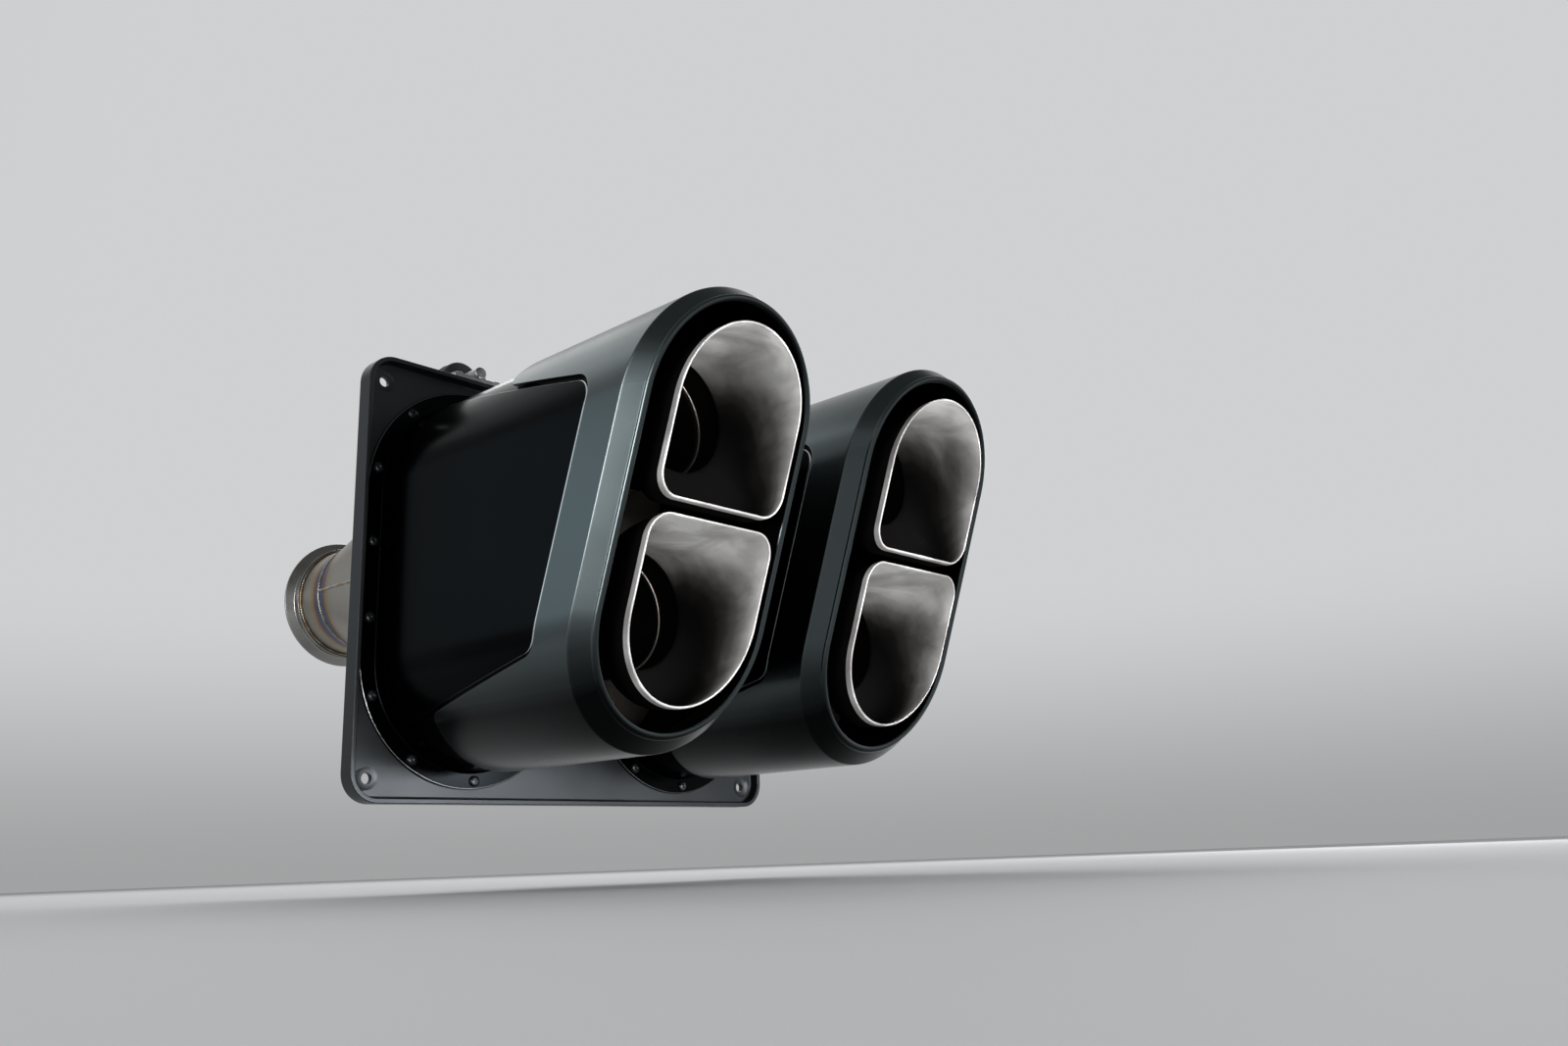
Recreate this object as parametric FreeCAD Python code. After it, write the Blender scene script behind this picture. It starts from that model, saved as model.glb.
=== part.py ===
# Twin stacked exhaust outlet from the tail of a mid-engined road car, in millimetres.
# X is to the car's right, Y forward and Z up. The origin is the centre of the carrier plate's
# four bolt holes, on the face that bolts to the car, and the mouths face -Y.
import FreeCAD
import Part
import math
import os
from FreeCAD import Vector

# Housings: two upright pill-shaped tubes side by side, their mouths cut along leaning planes
housing_pitch = 241.0  # centre to centre
housing_reach = 306.0  # from the middle of a mouth to the carrier's front face
mouth_lean = 19.7  # degrees that the top of a mouth overhangs to the rear

# Finisher: the outer shell of a housing, with a bevel and a round lip that stands up from it
lip_half_width = 83.1
lip_half_height = 155.6
lip_wall = 6.0
lip_round = 2.8
lip_stand = 3.4  # from its crest to the bevel
return_depth = 28.0  # of the wall that runs back inside the mouth
return_wall = 2.2
bevel_width = 10.2
bevel_height = 9.0
bevel_depth = 16.3  # from the mouth plane to its outer edge
bezel_floor = 2.0  # metal left behind the bevel
shell_wall = 2.5
shell_depth = 188.5  # from the mouth plane to the front end, which leans as the mouth does

# Window in each flank of a finisher: upright behind, open to the front, and wider towards it
window_setback = 55.0  # behind the mouth plane
window_half_height = 95.8  # at its rear edge
window_rise = 11.75  # degrees that its upper edge climbs towards the front
window_corner = 18.0
nose_round = 12.0  # of the shell's corners ahead of the windows

# Sleeve: the duct inside a finisher, which runs on to the carrier
sleeve_clearance = 0.3
sleeve_wall = 1.8
sleeve_setback = 6.0  # behind the end of the finisher's return wall
sleeve_flange_width = 14.0
sleeve_flange_thickness = 2.5
groove_width = 3.0  # from a window's edge to the raised panel in it
groove_depth = 1.2
land_depth = 150.0  # how far behind the mouth plane the sleeve touches the finisher

# Tips: trumpets with a D-shaped mouth, one upside down below the other
tip_margin = 15.1  # from the inside of the lip to a tip
tip_gap = 9.5  # between the two flat edges
tip_corner = 18.5
tip_wall = 1.8
tip_proud = 9.9  # past the lip
tip_band = 5.4  # width of the band round the outside of a tip's edge
tip_step = 0.6  # that the band stands out
tip_collar = 16.0  # straight stretch behind the mouth
tip_depth = 68.4  # from the mouth's middle to the throat
throat_radius = 46.5
throat_edge = 1.5
socket_length = 50.0
tip_bell = ((0.0, 0.0), (0.32, 0.10), (0.66, 0.48), (1.0, 1.0))  # share of depth, share of change

# Pipes: one round pipe behind each tip
pipe_radius = 47.5
pipe_wall = 1.5
pipe_offset = 2.2  # of each pipe's axis past the middle of its tip's mouth
pipe_rise = 17.6  # of their middle above the housing's middle
pipe_inset = 23.0  # of a pipe's end behind the throat
socket_clearance = 0.25
merge_gap = 2.0  # between the two pipes where they enter the collector
bend_radius = 120.0
bend_start = 116.0  # behind the carrier's front face
bend_lead = 10.0  # straight stretch of a bend where its pipe is welded on
weld_gap = 0.15

# Baffle: a plate across the sleeve that carries both pipes
baffle_setback = 156.0  # behind the carrier's front face
baffle_thickness = 2.0
baffle_clearance = 0.2

# Collector: two pipes into one, with the flange that joins the silencer's pipe
collector_start = 16.0  # ahead of the carrier's front face
collector_straight = 22.0
collector_taper = 128.0
collector_wall = 1.8
collector_clearance = 0.2
merge_turn = 20.0  # degrees of the inlet's circle that each flat side of the pill turns into
inlet_radius = 50.8
inlet_length = 46.0
flange_radius = 61.0
flange_edge = 4.0
flange_hub = 9.0
flange_hub_wall = 3.0
flange_clearance = 0.15

# Carrier: the plate that holds both housings and bolts to the car
carrier_margin_x = 7.0  # from the sleeves' flanges to the side edges
carrier_margin_z = 12.2  # from the sleeves' flanges to the upper and lower edges
carrier_thickness = 6.0
carrier_corner = 24.0
carrier_rim_depth = 10.0
carrier_rim_wall = 4.0
bolt_inset = 20.0  # from the carrier's edges
bolt_hole_radius = 4.5

# Hangers: rubber blocks between the carrier's arms and the collectors' hooks
rod_radius = 6.0
rod_clearance = 0.2
isolator_half_width = 20.0
isolator_pitch = 38.0
isolator_thickness = 30.0
isolator_setback = 14.0  # ahead of the carrier's front face
arm_foot = (56.0, 14.0, 4.0)  # width, depth and thickness, on top of the carrier
arm_sink = 1.0  # of the rod in the weld on its foot
arm_overhang = 8.0
hook_bend = 14.0
hook_stand_off = 20.0

# Worked out from the sizes above
lean = math.tan(math.radians(mouth_lean))
mouth_y = -housing_reach
mouth_half_width = lip_half_width - lip_wall
mouth_half_height = lip_half_height - lip_wall
shell_half_width = lip_half_width + bevel_width
shell_half_height = lip_half_height + bevel_height
sleeve_half_width = shell_half_width - shell_wall - sleeve_clearance
sleeve_half_height = shell_half_height - shell_wall - sleeve_clearance
sleeve_end_y = -carrier_thickness
sleeve_flange_y = sleeve_end_y - sleeve_flange_thickness
tip_half_width = mouth_half_width - tip_margin
tip_half_height = mouth_half_height - tip_margin  # from the middle of the housing to a tip's end
tip_middle = (tip_half_height + tip_gap / 2) / 2
pipe_spread = 2 * (tip_middle + pipe_offset)  # between the two pipe axes of a housing
flange_half_width = sleeve_half_width + sleeve_flange_width
flange_half_height = sleeve_half_height + sleeve_flange_width
carrier_half_width = housing_pitch / 2 + flange_half_width + carrier_margin_x
carrier_half_height = flange_half_height + carrier_margin_z
carrier_depth = carrier_thickness + carrier_rim_depth
bolt_x = carrier_half_width - bolt_inset
bolt_z = carrier_half_height - bolt_inset
arm_height = carrier_half_height + arm_foot[2] + rod_radius - arm_sink
pipe_joint_y = -bend_start - bend_lead
bend_end_y = collector_start + collector_straight
pipe_heights = {"upper": pipe_rise + pipe_spread / 2, "lower": pipe_rise - pipe_spread / 2}
merge_half_pitch = pipe_radius + merge_gap / 2
sides = {"left": -housing_pitch / 2, "right": housing_pitch / 2}
reach = 400.0  # larger than any cut has to be
tool_margin = 1.0  # that a cutting shape stands past what it cuts


def save(name, shape):
    """Writes one sub-part, checked to be a single closed solid."""
    solids = shape.Solids
    print(name, "solids", len(solids), "valid", shape.isValid(), "cm3", round(shape.Volume / 1000, 1))
    solid = solids[0] if len(solids) == 1 else shape
    solid.exportStep("parts/" + name + ".step")


def leaning_point(x, z, depth):
    """A point on the leaning plane that lies at this depth behind the mouth."""
    return Vector(x, mouth_y + depth - lean * z, z)


def leaning_pill(half_width, half_height, depth):
    """A pill outline on a leaning plane: upright sides and half-ellipse ends."""
    straight = half_height - half_width
    edges = []
    for end in (1, -1):
        centre = leaning_point(0, end * straight, depth)
        crown = leaning_point(0, end * half_height, depth)
        flank = leaning_point(half_width, end * straight, depth)
        ellipse = Part.Ellipse(crown, flank, centre)
        edges.append(Part.ArcOfEllipse(ellipse, -math.pi / 2, math.pi / 2).toShape())
        side = end * half_width
        low = leaning_point(side, -straight, depth)
        high = leaning_point(side, straight, depth)
        edges.append(Part.makeLine(low, high))
    return Part.Wire(Part.__sortEdges__(edges))


def upright_pill(half_width, half_height, y, x=0.0, z=0.0):
    """A pill outline on the plane square to Y."""
    straight = half_height - half_width
    edges = []
    for end in (1, -1):
        left = Vector(x - half_width, y, z + end * straight)
        crown = Vector(x, y, z + end * half_height)
        right = Vector(x + half_width, y, z + end * straight)
        edges.append(Part.Arc(left, crown, right).toShape())
        side = x + end * half_width
        edges.append(Part.makeLine(Vector(side, y, z - straight), Vector(side, y, z + straight)))
    return Part.Wire(Part.__sortEdges__(edges))


def bar(outline, length):
    """The solid that an outline sweeps when it moves forward by this length."""
    return Part.Face(outline).extrude(Vector(0, length, 0))


def rear_of(depth):
    """All the space to the rear of the leaning plane at this depth."""
    top = leaning_point(-reach, reach, depth)
    bottom = leaning_point(-reach, -reach, depth)
    far_top = Vector(-reach, mouth_y - 2 * reach, reach)
    far_bottom = Vector(-reach, mouth_y - 2 * reach, -reach)
    outline = Part.makePolygon([top, bottom, far_bottom, far_top, top])
    return Part.Face(outline).extrude(Vector(2 * reach, 0, 0))


def pill_bar(half_width, half_height, depth, end_y):
    """A pill-shaped bar from the leaning plane at this depth to the upright plane at end_y."""
    start_y = mouth_y - reach / 2
    whole = bar(upright_pill(half_width, half_height, start_y), end_y - start_y)
    return whole.cut(rear_of(depth))


def leaning_bar(half_width, half_height, depth, end_depth):
    """A pill-shaped bar between two leaning planes."""
    return pill_bar(half_width, half_height, depth, mouth_y + reach).common(rear_of(end_depth))


def pipe_between(radius, start, end):
    """A straight round bar between two points."""
    run = end - start
    return Part.makeCylinder(radius, run.Length, start, run)


def window_block(inset):
    """A flank window as a block right through the housing, made smaller by an inset."""
    rise = math.tan(math.radians(window_rise))
    near = (window_setback + inset, window_half_height + inset * (rise - 1))
    far = (window_setback + reach, window_half_height + reach * rise - inset)
    upper = [leaning_point(-reach, z, depth) for depth, z in (near, far)]
    lower = [leaning_point(-reach, -z, depth) for depth, z in (near, far)]
    outline = Part.makePolygon(upper + lower[::-1] + upper[:1])
    block = Part.Face(outline).extrude(Vector(2 * reach, 0, 0))
    corners = [edge for edge in block.Edges if runs_across(edge) and on_plane(edge, near[0])]
    return block.makeFillet(window_corner - inset, corners)


def front_opening():
    """Both windows and all the space ahead of the shell, with round corners between them."""
    corner = Vector(-reach, mouth_y, -reach)
    ahead = Part.makeBox(2 * reach, 2 * reach, 2 * reach, corner).cut(rear_of(shell_depth))
    block = window_block(0).fuse(ahead).removeSplitter()
    corners = [edge for edge in block.Edges if on_plane(edge, shell_depth) and runs_across(edge)]
    return block.makeFillet(nose_round, corners)


def on_plane(edge, depth):
    """True for an edge that lies all along the leaning plane at this depth."""
    points = [vertex.Point for vertex in edge.Vertexes] + [edge.CenterOfMass]
    return all(abs(point.y - leaning_point(0, point.z, depth).y) < 0.01 for point in points)


def runs_across(edge):
    """True for a straight edge along X."""
    first, last = [vertex.Point for vertex in edge.Vertexes][:: len(edge.Vertexes) - 1]
    return abs(abs(last.x - first.x) - edge.Length) < 0.001


def finisher():
    """The bevelled shell: outer skin, bevel, round lip, return wall and two flank windows."""
    foot = leaning_pill(lip_half_width, lip_half_height, lip_stand)
    rim = leaning_pill(shell_half_width, shell_half_height, bevel_depth)
    bevel = Part.makeLoft([foot, rim], True, True)
    lip = leaning_bar(lip_half_width, lip_half_height, 0, lip_stand)
    skin = leaning_bar(shell_half_width, shell_half_height, bevel_depth, shell_depth)
    body = skin.fuse([bevel, lip]).removeSplitter()
    end = shell_depth + tool_margin
    body = body.cut(leaning_bar(mouth_half_width, mouth_half_height, -tool_margin, end))
    hollow = leaning_bar(
        shell_half_width - shell_wall,
        shell_half_height - shell_wall,
        bevel_depth + bezel_floor,
        end,
    )
    inner = leaning_bar(
        mouth_half_width + return_wall, mouth_half_height + return_wall, 0, return_depth
    )
    body = body.cut(hollow.cut(inner))
    body = body.makeFillet(lip_round, [edge for edge in body.Edges if on_plane(edge, 0)])
    return body.cut(front_opening())


def sleeve():
    """The duct inside the finisher, with a panel raised in each window and a flange ahead."""
    start = return_depth + sleeve_setback
    outer = pill_bar(sleeve_half_width, sleeve_half_height, start, sleeve_end_y)
    flange_outline = upright_pill(flange_half_width, flange_half_height, sleeve_flange_y)
    flange = bar(flange_outline, sleeve_flange_thickness)
    skin = pill_bar(
        sleeve_half_width + tool_margin, sleeve_half_height + tool_margin, start, sleeve_flange_y
    )
    skin = skin.cut(
        pill_bar(
            sleeve_half_width - groove_depth, sleeve_half_height - groove_depth, start, sleeve_flange_y
        )
    )
    land = rear_of(land_depth).cut(window_block(0))
    lowered = skin.cut(window_block(groove_width)).cut(land)
    body = outer.fuse(flange).cut(lowered)
    return body.cut(bar(sleeve_bore(mouth_y - reach), reach + housing_reach))


def sleeve_bore(y):
    """The outline of the sleeve's inside."""
    return upright_pill(sleeve_half_width - sleeve_wall, sleeve_half_height - sleeve_wall, y)


def d_points(inset):
    """Corners and mid-points of a tip's mouth, as (x, z), clockwise from the flat edge's left end."""
    width = tip_half_width - inset
    top = tip_half_height - inset
    flat = tip_gap / 2 + inset
    corner = tip_corner - inset
    crown = top - width
    points = [(-(width - corner), flat), (0, flat)]
    points += arc_points(width - corner, flat + corner, corner, -90, 0, 2)
    points.append((width, (flat + corner + crown) / 2))
    points += arc_points(0, crown, width, 0, 180, 4)
    points.append((-width, (flat + corner + crown) / 2))
    points += arc_points(corner - width, flat + corner, corner, 180, 270, 2)
    return points[:-1]


def arc_points(x, z, radius, start, end, arcs):
    """The ends and middles of a run of equal arcs, from start to end in degrees."""
    steps = 2 * arcs
    turns = [math.radians(start + (end - start) * i / steps) for i in range(steps + 1)]
    return [(x + radius * math.cos(turn), z + radius * math.sin(turn)) for turn in turns]


def round_points(inset, outline):
    """Points on the throat's circle at the directions that a D outline's points have."""
    radius = throat_radius + tip_wall - inset
    points = []
    for x, z in outline:
        turn = math.atan2(z - tip_middle, x)
        points.append((radius * math.cos(turn), tip_middle + radius * math.sin(turn)))
    return points


def tip_section(inset, depth, change, flip):
    """A trumpet's section at this depth, part of the change from its D mouth to its round throat."""
    outline = d_points(inset)
    circle = round_points(inset, outline)
    shift = pipe_offset + flip * pipe_rise
    corners = []
    for (x0, z0), (x1, z1) in zip(outline, circle):
        x = x0 + (x1 - x0) * change
        z = flip * (z0 + (z1 - z0) * change + shift * change)
        leaning = -lean * (z * (1 - change) + flip * tip_middle * change)
        corners.append(Vector(x, mouth_y - tip_proud + depth + leaning, z))
    edges = []
    for i in range(0, len(corners), 2):
        start = corners[i]
        halfway = corners[i + 1]
        end = corners[(i + 2) % len(corners)]
        if ((start + end) * 0.5 - halfway).Length < 0.001:
            edges.append(Part.makeLine(start, end))
        else:
            edges.append(Part.Arc(start, halfway, end).toShape())
    return Part.Wire(edges)


def throat_point(level, distance):
    """A point on a pipe's axis, this far ahead of its tip's throat."""
    flip = 1 if level == "upper" else -1
    y = mouth_y - tip_proud + tip_depth - lean * flip * tip_middle + distance
    return Vector(0, y, pipe_heights[level])


def trumpet(level, inset):
    """The solid form of a trumpet: a straight collar and a bell down to the round throat."""
    flip = 1 if level == "upper" else -1
    bell = []
    for share, change in tip_bell:
        depth = tip_collar + (tip_depth - tip_collar) * share
        bell.append(tip_section(inset, depth, change, flip))
    collar = Part.makeLoft([tip_section(inset, 0, 0, flip), bell[0]], True, True)
    return collar.fuse(Part.makeLoft(bell, True, False))


def tip(level):
    """A D-to-round trumpet with a band round its edge and the socket that its pipe slides into."""
    flip = 1 if level == "upper" else -1
    band = Part.makeLoft([tip_section(0, depth, 0, flip) for depth in (0, tip_band)], True, True)
    throat = throat_point(level, 0)
    edge = throat_point(level, throat_edge)
    end = throat_point(level, socket_length)
    socket_radius = pipe_radius + socket_clearance
    socket = pipe_between(socket_radius + tip_wall, throat, end)
    body = trumpet(level, tip_step).fuse([band, socket])
    body = body.cut(trumpet(level, tip_wall))
    body = body.cut(pipe_between(throat_radius, throat, edge))
    return body.cut(pipe_between(socket_radius, edge, end))


def pipe(level):
    """A straight round pipe from its tip's socket through the baffle."""
    start = throat_point(level, pipe_inset)
    end = Vector(0, pipe_joint_y, pipe_heights[level])
    return pipe_between(pipe_radius, start, end).cut(pipe_between(pipe_radius - pipe_wall, start, end))


def bend_path(level):
    """A bend's axis: straight, two equal arcs towards the other bend, and straight again."""
    flip = 1 if level == "upper" else -1
    high = pipe_heights[level]
    low = pipe_rise + flip * merge_half_pitch
    turn = math.acos(1 - abs(high - low) / (2 * bend_radius))
    arc_length = bend_radius * math.sin(turn)
    half_along = bend_radius * math.sin(turn / 2)
    half_drop = flip * bend_radius * (1 - math.cos(turn / 2))
    start = Vector(0, pipe_joint_y + weld_gap, high)
    first = Vector(0, -bend_start, high)
    middle = Vector(0, first.y + arc_length, (high + low) / 2)
    last = Vector(0, middle.y + arc_length, low)
    edges = [
        Part.makeLine(start, first),
        Part.Arc(first, first + Vector(0, half_along, -half_drop), middle).toShape(),
        Part.Arc(middle, last + Vector(0, -half_along, half_drop), last).toShape(),
        Part.makeLine(last, Vector(0, bend_end_y, low)),
    ]
    return Part.Wire(edges)


def bend(level):
    """A round pipe with a gentle S-bend, from its straight pipe to the collector."""
    solids = []
    for radius in (pipe_radius, pipe_radius - pipe_wall):
        start = Vector(0, pipe_joint_y + weld_gap, pipe_heights[level])
        outline = Part.Wire(Part.makeCircle(radius, start, Vector(0, 1, 0)))
        solids.append(bend_path(level).makePipe(Part.Face(outline)))
    return solids[0].cut(solids[1])


def baffle():
    """The plate across the sleeve, with a hole for each pipe."""
    width = sleeve_half_width - sleeve_wall - baffle_clearance
    height = sleeve_half_height - sleeve_wall - baffle_clearance
    plate = bar(upright_pill(width, height, -baffle_setback), baffle_thickness)
    for level in pipe_heights:
        start = Vector(0, -baffle_setback, pipe_heights[level])
        end = start + Vector(0, baffle_thickness, 0)
        plate = plate.cut(pipe_between(pipe_radius + baffle_clearance, start, end))
    return plate


def merge_outline(inset, y, roundness):
    """A collector section: a pill round both pipes at roundness 0 and the inlet's circle at 1."""
    width = pipe_radius + collector_clearance + collector_wall - inset
    straight = merge_half_pitch * (1 - roundness)
    radius = width + (inlet_radius - inset - width) * roundness
    points = []
    for end in (1, -1):
        for share in (-1, 0, 1):
            turn = math.radians(merge_turn) * share
            side_x = end * radius * (1 + (math.cos(turn) - 1) * roundness)
            side_z = end * (radius * math.sin(turn) * roundness + straight * share)
            points.append(Vector(side_x, y, pipe_rise + side_z))
        points.append(Vector(0, y, pipe_rise + end * (straight + radius)))
    edges = []
    for i in range(0, len(points), 2):
        start = points[i]
        halfway = points[i + 1]
        end = points[(i + 2) % len(points)]
        if ((start + end) * 0.5 - halfway).Length < 0.001:
            edges.append(Part.makeLine(start, end))
        else:
            edges.append(Part.Arc(start, halfway, end).toShape())
    return Part.Wire(edges)


def collector_form(inset):
    """The collector's outer form, or its inside: pill, taper and round inlet tube."""
    round_y = bend_end_y + collector_taper
    pill = bar(merge_outline(inset, collector_start, 0), collector_straight)
    sections = [merge_outline(inset, bend_end_y, 0), merge_outline(inset, round_y, 1)]
    taper = Part.makeLoft(sections, True, True)
    start = Vector(0, round_y, pipe_rise)
    tube = pipe_between(inlet_radius - inset, start, start + Vector(0, inlet_length, 0))
    return pill.fuse([taper, tube])


def collector():
    """The two-into-one collector with its end plate."""
    plate = bar(merge_outline(collector_wall, collector_start, 0), collector_wall)
    body = collector_form(0).cut(collector_form(collector_wall).cut(plate))
    for flip in (1, -1):
        start = Vector(0, collector_start, pipe_rise + flip * merge_half_pitch)
        end = start + Vector(0, collector_wall, 0)
        body = body.cut(pipe_between(pipe_radius + collector_clearance, start, end))
    return body


def hook():
    """The rod welded on top of the collector, bent back through the rubber block."""
    rod_z = arm_height - isolator_pitch
    upright_y = isolator_setback + isolator_thickness + hook_stand_off + hook_bend
    foot = Vector(0, upright_y, pipe_rise + merge_half_pitch)
    knee = Vector(0, upright_y, rod_z - hook_bend)
    offset = hook_bend * (1 - math.sqrt(0.5))
    halfway = Vector(0, upright_y - offset, rod_z - offset)
    turned = Vector(0, upright_y - hook_bend, rod_z)
    edges = [
        Part.makeLine(foot, knee),
        Part.Arc(knee, halfway, turned).toShape(),
        Part.makeLine(turned, Vector(0, isolator_setback - arm_overhang, rod_z)),
    ]
    outline = Part.Wire(Part.makeCircle(rod_radius, foot, Vector(0, 0, 1)))
    rod = Part.Wire(edges).makePipe(Part.Face(outline))
    return rod.cut(collector_form(-weld_gap))


def inlet_flange():
    """The V-edged ring at the end of the inlet tube."""
    bore = inlet_radius + flange_clearance
    face_y = bend_end_y + collector_taper + inlet_length
    profile = [
        (bore, 0),
        (flange_radius, 0),
        (flange_radius, -flange_edge / 2),
        (bore + flange_hub_wall, -flange_edge - flange_hub / 4),
        (bore + flange_hub_wall, -flange_edge - flange_hub),
        (bore, -flange_edge - flange_hub),
    ]
    points = [Vector(radius, face_y + along, pipe_rise) for radius, along in profile]
    face = Part.Face(Part.makePolygon(points + points[:1]))
    return face.revolve(Vector(0, 0, pipe_rise), Vector(0, 1, 0), 360)


def plate_block(inset, depth):
    """The carrier's outline as a block with round corners, from its front face to the rear."""
    width = carrier_half_width - inset
    height = carrier_half_height - inset
    box = Part.makeBox(2 * width, depth, 2 * height, Vector(-width, -depth, -height))
    corners = [edge for edge in box.Edges if abs(edge.Length - depth) < 0.001]
    return box.makeFillet(carrier_corner - inset, corners)


def carrier():
    """The flat plate with a rim to the rear, two pill-shaped openings and four bolt holes."""
    rim = plate_block(0, carrier_depth).cut(plate_block(carrier_rim_wall, carrier_depth))
    plate = rim.fuse(plate_block(0, carrier_thickness)).removeSplitter()
    for x in sides.values():
        opening = bar(sleeve_bore(-carrier_thickness), carrier_thickness)
        opening.translate(Vector(x, 0, 0))
        plate = plate.cut(opening)
    for x in (-bolt_x, bolt_x):
        for z in (-bolt_z, bolt_z):
            hole = pipe_between(bolt_hole_radius, Vector(x, -carrier_thickness, z), Vector(x, 0, z))
            plate = plate.cut(hole)
    return plate


def hanger_arm():
    """The foot on top of the carrier and the rod that holds up a rubber block."""
    width, depth, thickness = arm_foot
    rear_y = -(carrier_depth + depth) / 2
    foot = Part.makeBox(width, depth, thickness, Vector(-width / 2, rear_y, carrier_half_height))
    end_y = isolator_setback + isolator_thickness + arm_overhang
    return foot.fuse(pipe_between(rod_radius, Vector(0, rear_y, arm_height), Vector(0, end_y, arm_height)))


def isolator():
    """The rubber block with two eyes, the arm's above and the hook's below."""
    middle = arm_height - isolator_pitch / 2
    half_height = isolator_pitch / 2 + isolator_half_width
    outline = upright_pill(isolator_half_width, half_height, isolator_setback, 0, middle)
    block = bar(outline, isolator_thickness)
    for z in (arm_height, arm_height - isolator_pitch):
        start = Vector(0, isolator_setback, z)
        end = Vector(0, isolator_setback + isolator_thickness, z)
        block = block.cut(pipe_between(rod_radius + rod_clearance, start, end))
    return block


os.makedirs("parts", exist_ok=True)
pieces = {
    "finisher": finisher(),
    "sleeve": sleeve(),
    "tip_upper": tip("upper"),
    "tip_lower": tip("lower"),
    "pipe_upper": pipe("upper"),
    "pipe_lower": pipe("lower"),
    "bend_upper": bend("upper"),
    "bend_lower": bend("lower"),
    "baffle": baffle(),
    "collector": collector(),
    "hook": hook(),
    "inlet_flange": inlet_flange(),
    "hanger_arm": hanger_arm(),
    "isolator": isolator(),
}
for name, shape in pieces.items():
    for side, x in sides.items():
        placed = shape.copy()
        placed.translate(Vector(x, 0, 0))
        save(name + "_" + side, placed)
save("carrier", carrier())
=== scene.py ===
import math

import bmesh
import bpy
from mathutils import Matrix, Vector
from mathutils.geometry import tessellate_polygon


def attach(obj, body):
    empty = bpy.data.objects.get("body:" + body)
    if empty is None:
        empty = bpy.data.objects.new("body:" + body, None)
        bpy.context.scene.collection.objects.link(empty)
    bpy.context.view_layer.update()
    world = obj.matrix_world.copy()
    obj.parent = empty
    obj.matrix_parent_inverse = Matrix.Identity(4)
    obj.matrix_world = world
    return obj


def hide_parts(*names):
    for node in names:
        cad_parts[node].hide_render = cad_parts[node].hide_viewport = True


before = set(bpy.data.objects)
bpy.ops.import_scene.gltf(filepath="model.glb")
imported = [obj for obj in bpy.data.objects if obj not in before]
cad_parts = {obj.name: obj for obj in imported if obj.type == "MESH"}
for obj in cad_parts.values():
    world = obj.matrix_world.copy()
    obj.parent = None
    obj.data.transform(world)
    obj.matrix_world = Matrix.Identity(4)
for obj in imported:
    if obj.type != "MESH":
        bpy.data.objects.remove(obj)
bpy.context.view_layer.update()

# The camera stands at floor level, behind the outlets and to their left, and looks up at them.
# Its place, turn and lens were solved from the outlines of the mouths in the photograph.
MM = 0.001
camera_place = Vector((-760.3, -952.0, -244.2)) * MM
camera_turn = math.radians(48.13)
camera_rise = math.radians(14.72)
camera_roll = math.radians(-2.10)
lens = bpy.data.cameras.new("outlet_camera")
lens.sensor_width = 36.0
lens.lens = 29.62
lens.clip_start = 0.02
camera = bpy.data.objects.new("outlet_camera", lens)
camera.matrix_world = (
    Matrix.Translation(camera_place)
    @ Matrix.Rotation(-camera_turn, 4, "Z")
    @ Matrix.Rotation(math.pi / 2 + camera_rise, 4, "X")
    @ Matrix.Rotation(camera_roll, 4, "Z")
)
bpy.context.scene.collection.objects.link(camera)
bpy.context.scene.camera = camera

# The studio is a pale painted floor and a pale wall of light all round, dimmer to the left,
# under a dim ceiling. Soft boxes light the part, and its metal mirrors all of these.


def hex_colour(text):
    """An sRGB hex colour as linear red, green, blue and alpha."""
    linear = []
    for i in (1, 3, 5):
        value = int(text[i : i + 2], 16) / 255
        linear.append(value / 12.92 if value <= 0.04045 else ((value + 0.055) / 1.055) ** 2.4)
    return (*linear, 1.0)


def add_node(tree, kind, inputs=None, **settings):
    """Adds a node with its settings. Each input is linked to a node's first output or to a
    socket, or set to a number or a hex colour."""
    node = tree.nodes.new("ShaderNode" + kind)
    for name, value in settings.items():
        setattr(node, name, value)
    for socket, value in (inputs or {}).items():
        if isinstance(value, bpy.types.Node):
            tree.links.new(value.outputs[0], node.inputs[socket])
        elif isinstance(value, bpy.types.NodeSocket):
            tree.links.new(value, node.inputs[socket])
        elif isinstance(value, str):
            node.inputs[socket].default_value = hex_colour(value)
        else:
            node.inputs[socket].default_value = value
    return node


def finished_material(name, build):
    """A material whose surface is the shader that build makes from the tree and the piece's own
    coordinates."""
    material = bpy.data.materials.new(name)
    material.use_nodes = True
    tree = material.node_tree
    tree.nodes.clear()
    place = add_node(tree, "TexCoord").outputs["Object"]
    add_node(tree, "OutputMaterial", {0: build(tree, place)})
    return material


def add_mesh(name, points, faces, material):
    """A smooth-shaded mesh object with its faces turned outwards, from points in metres."""
    mesh = bpy.data.meshes.new(name)
    mesh.from_pydata(points, [], faces)
    turned = bmesh.new()
    turned.from_mesh(mesh)
    bmesh.ops.recalc_face_normals(turned, faces=turned.faces)
    turned.to_mesh(mesh)
    turned.free()
    mesh.shade_smooth()
    mesh.materials.append(material)
    piece = bpy.data.objects.new(name, mesh)
    bpy.context.scene.collection.objects.link(piece)
    return piece


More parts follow.
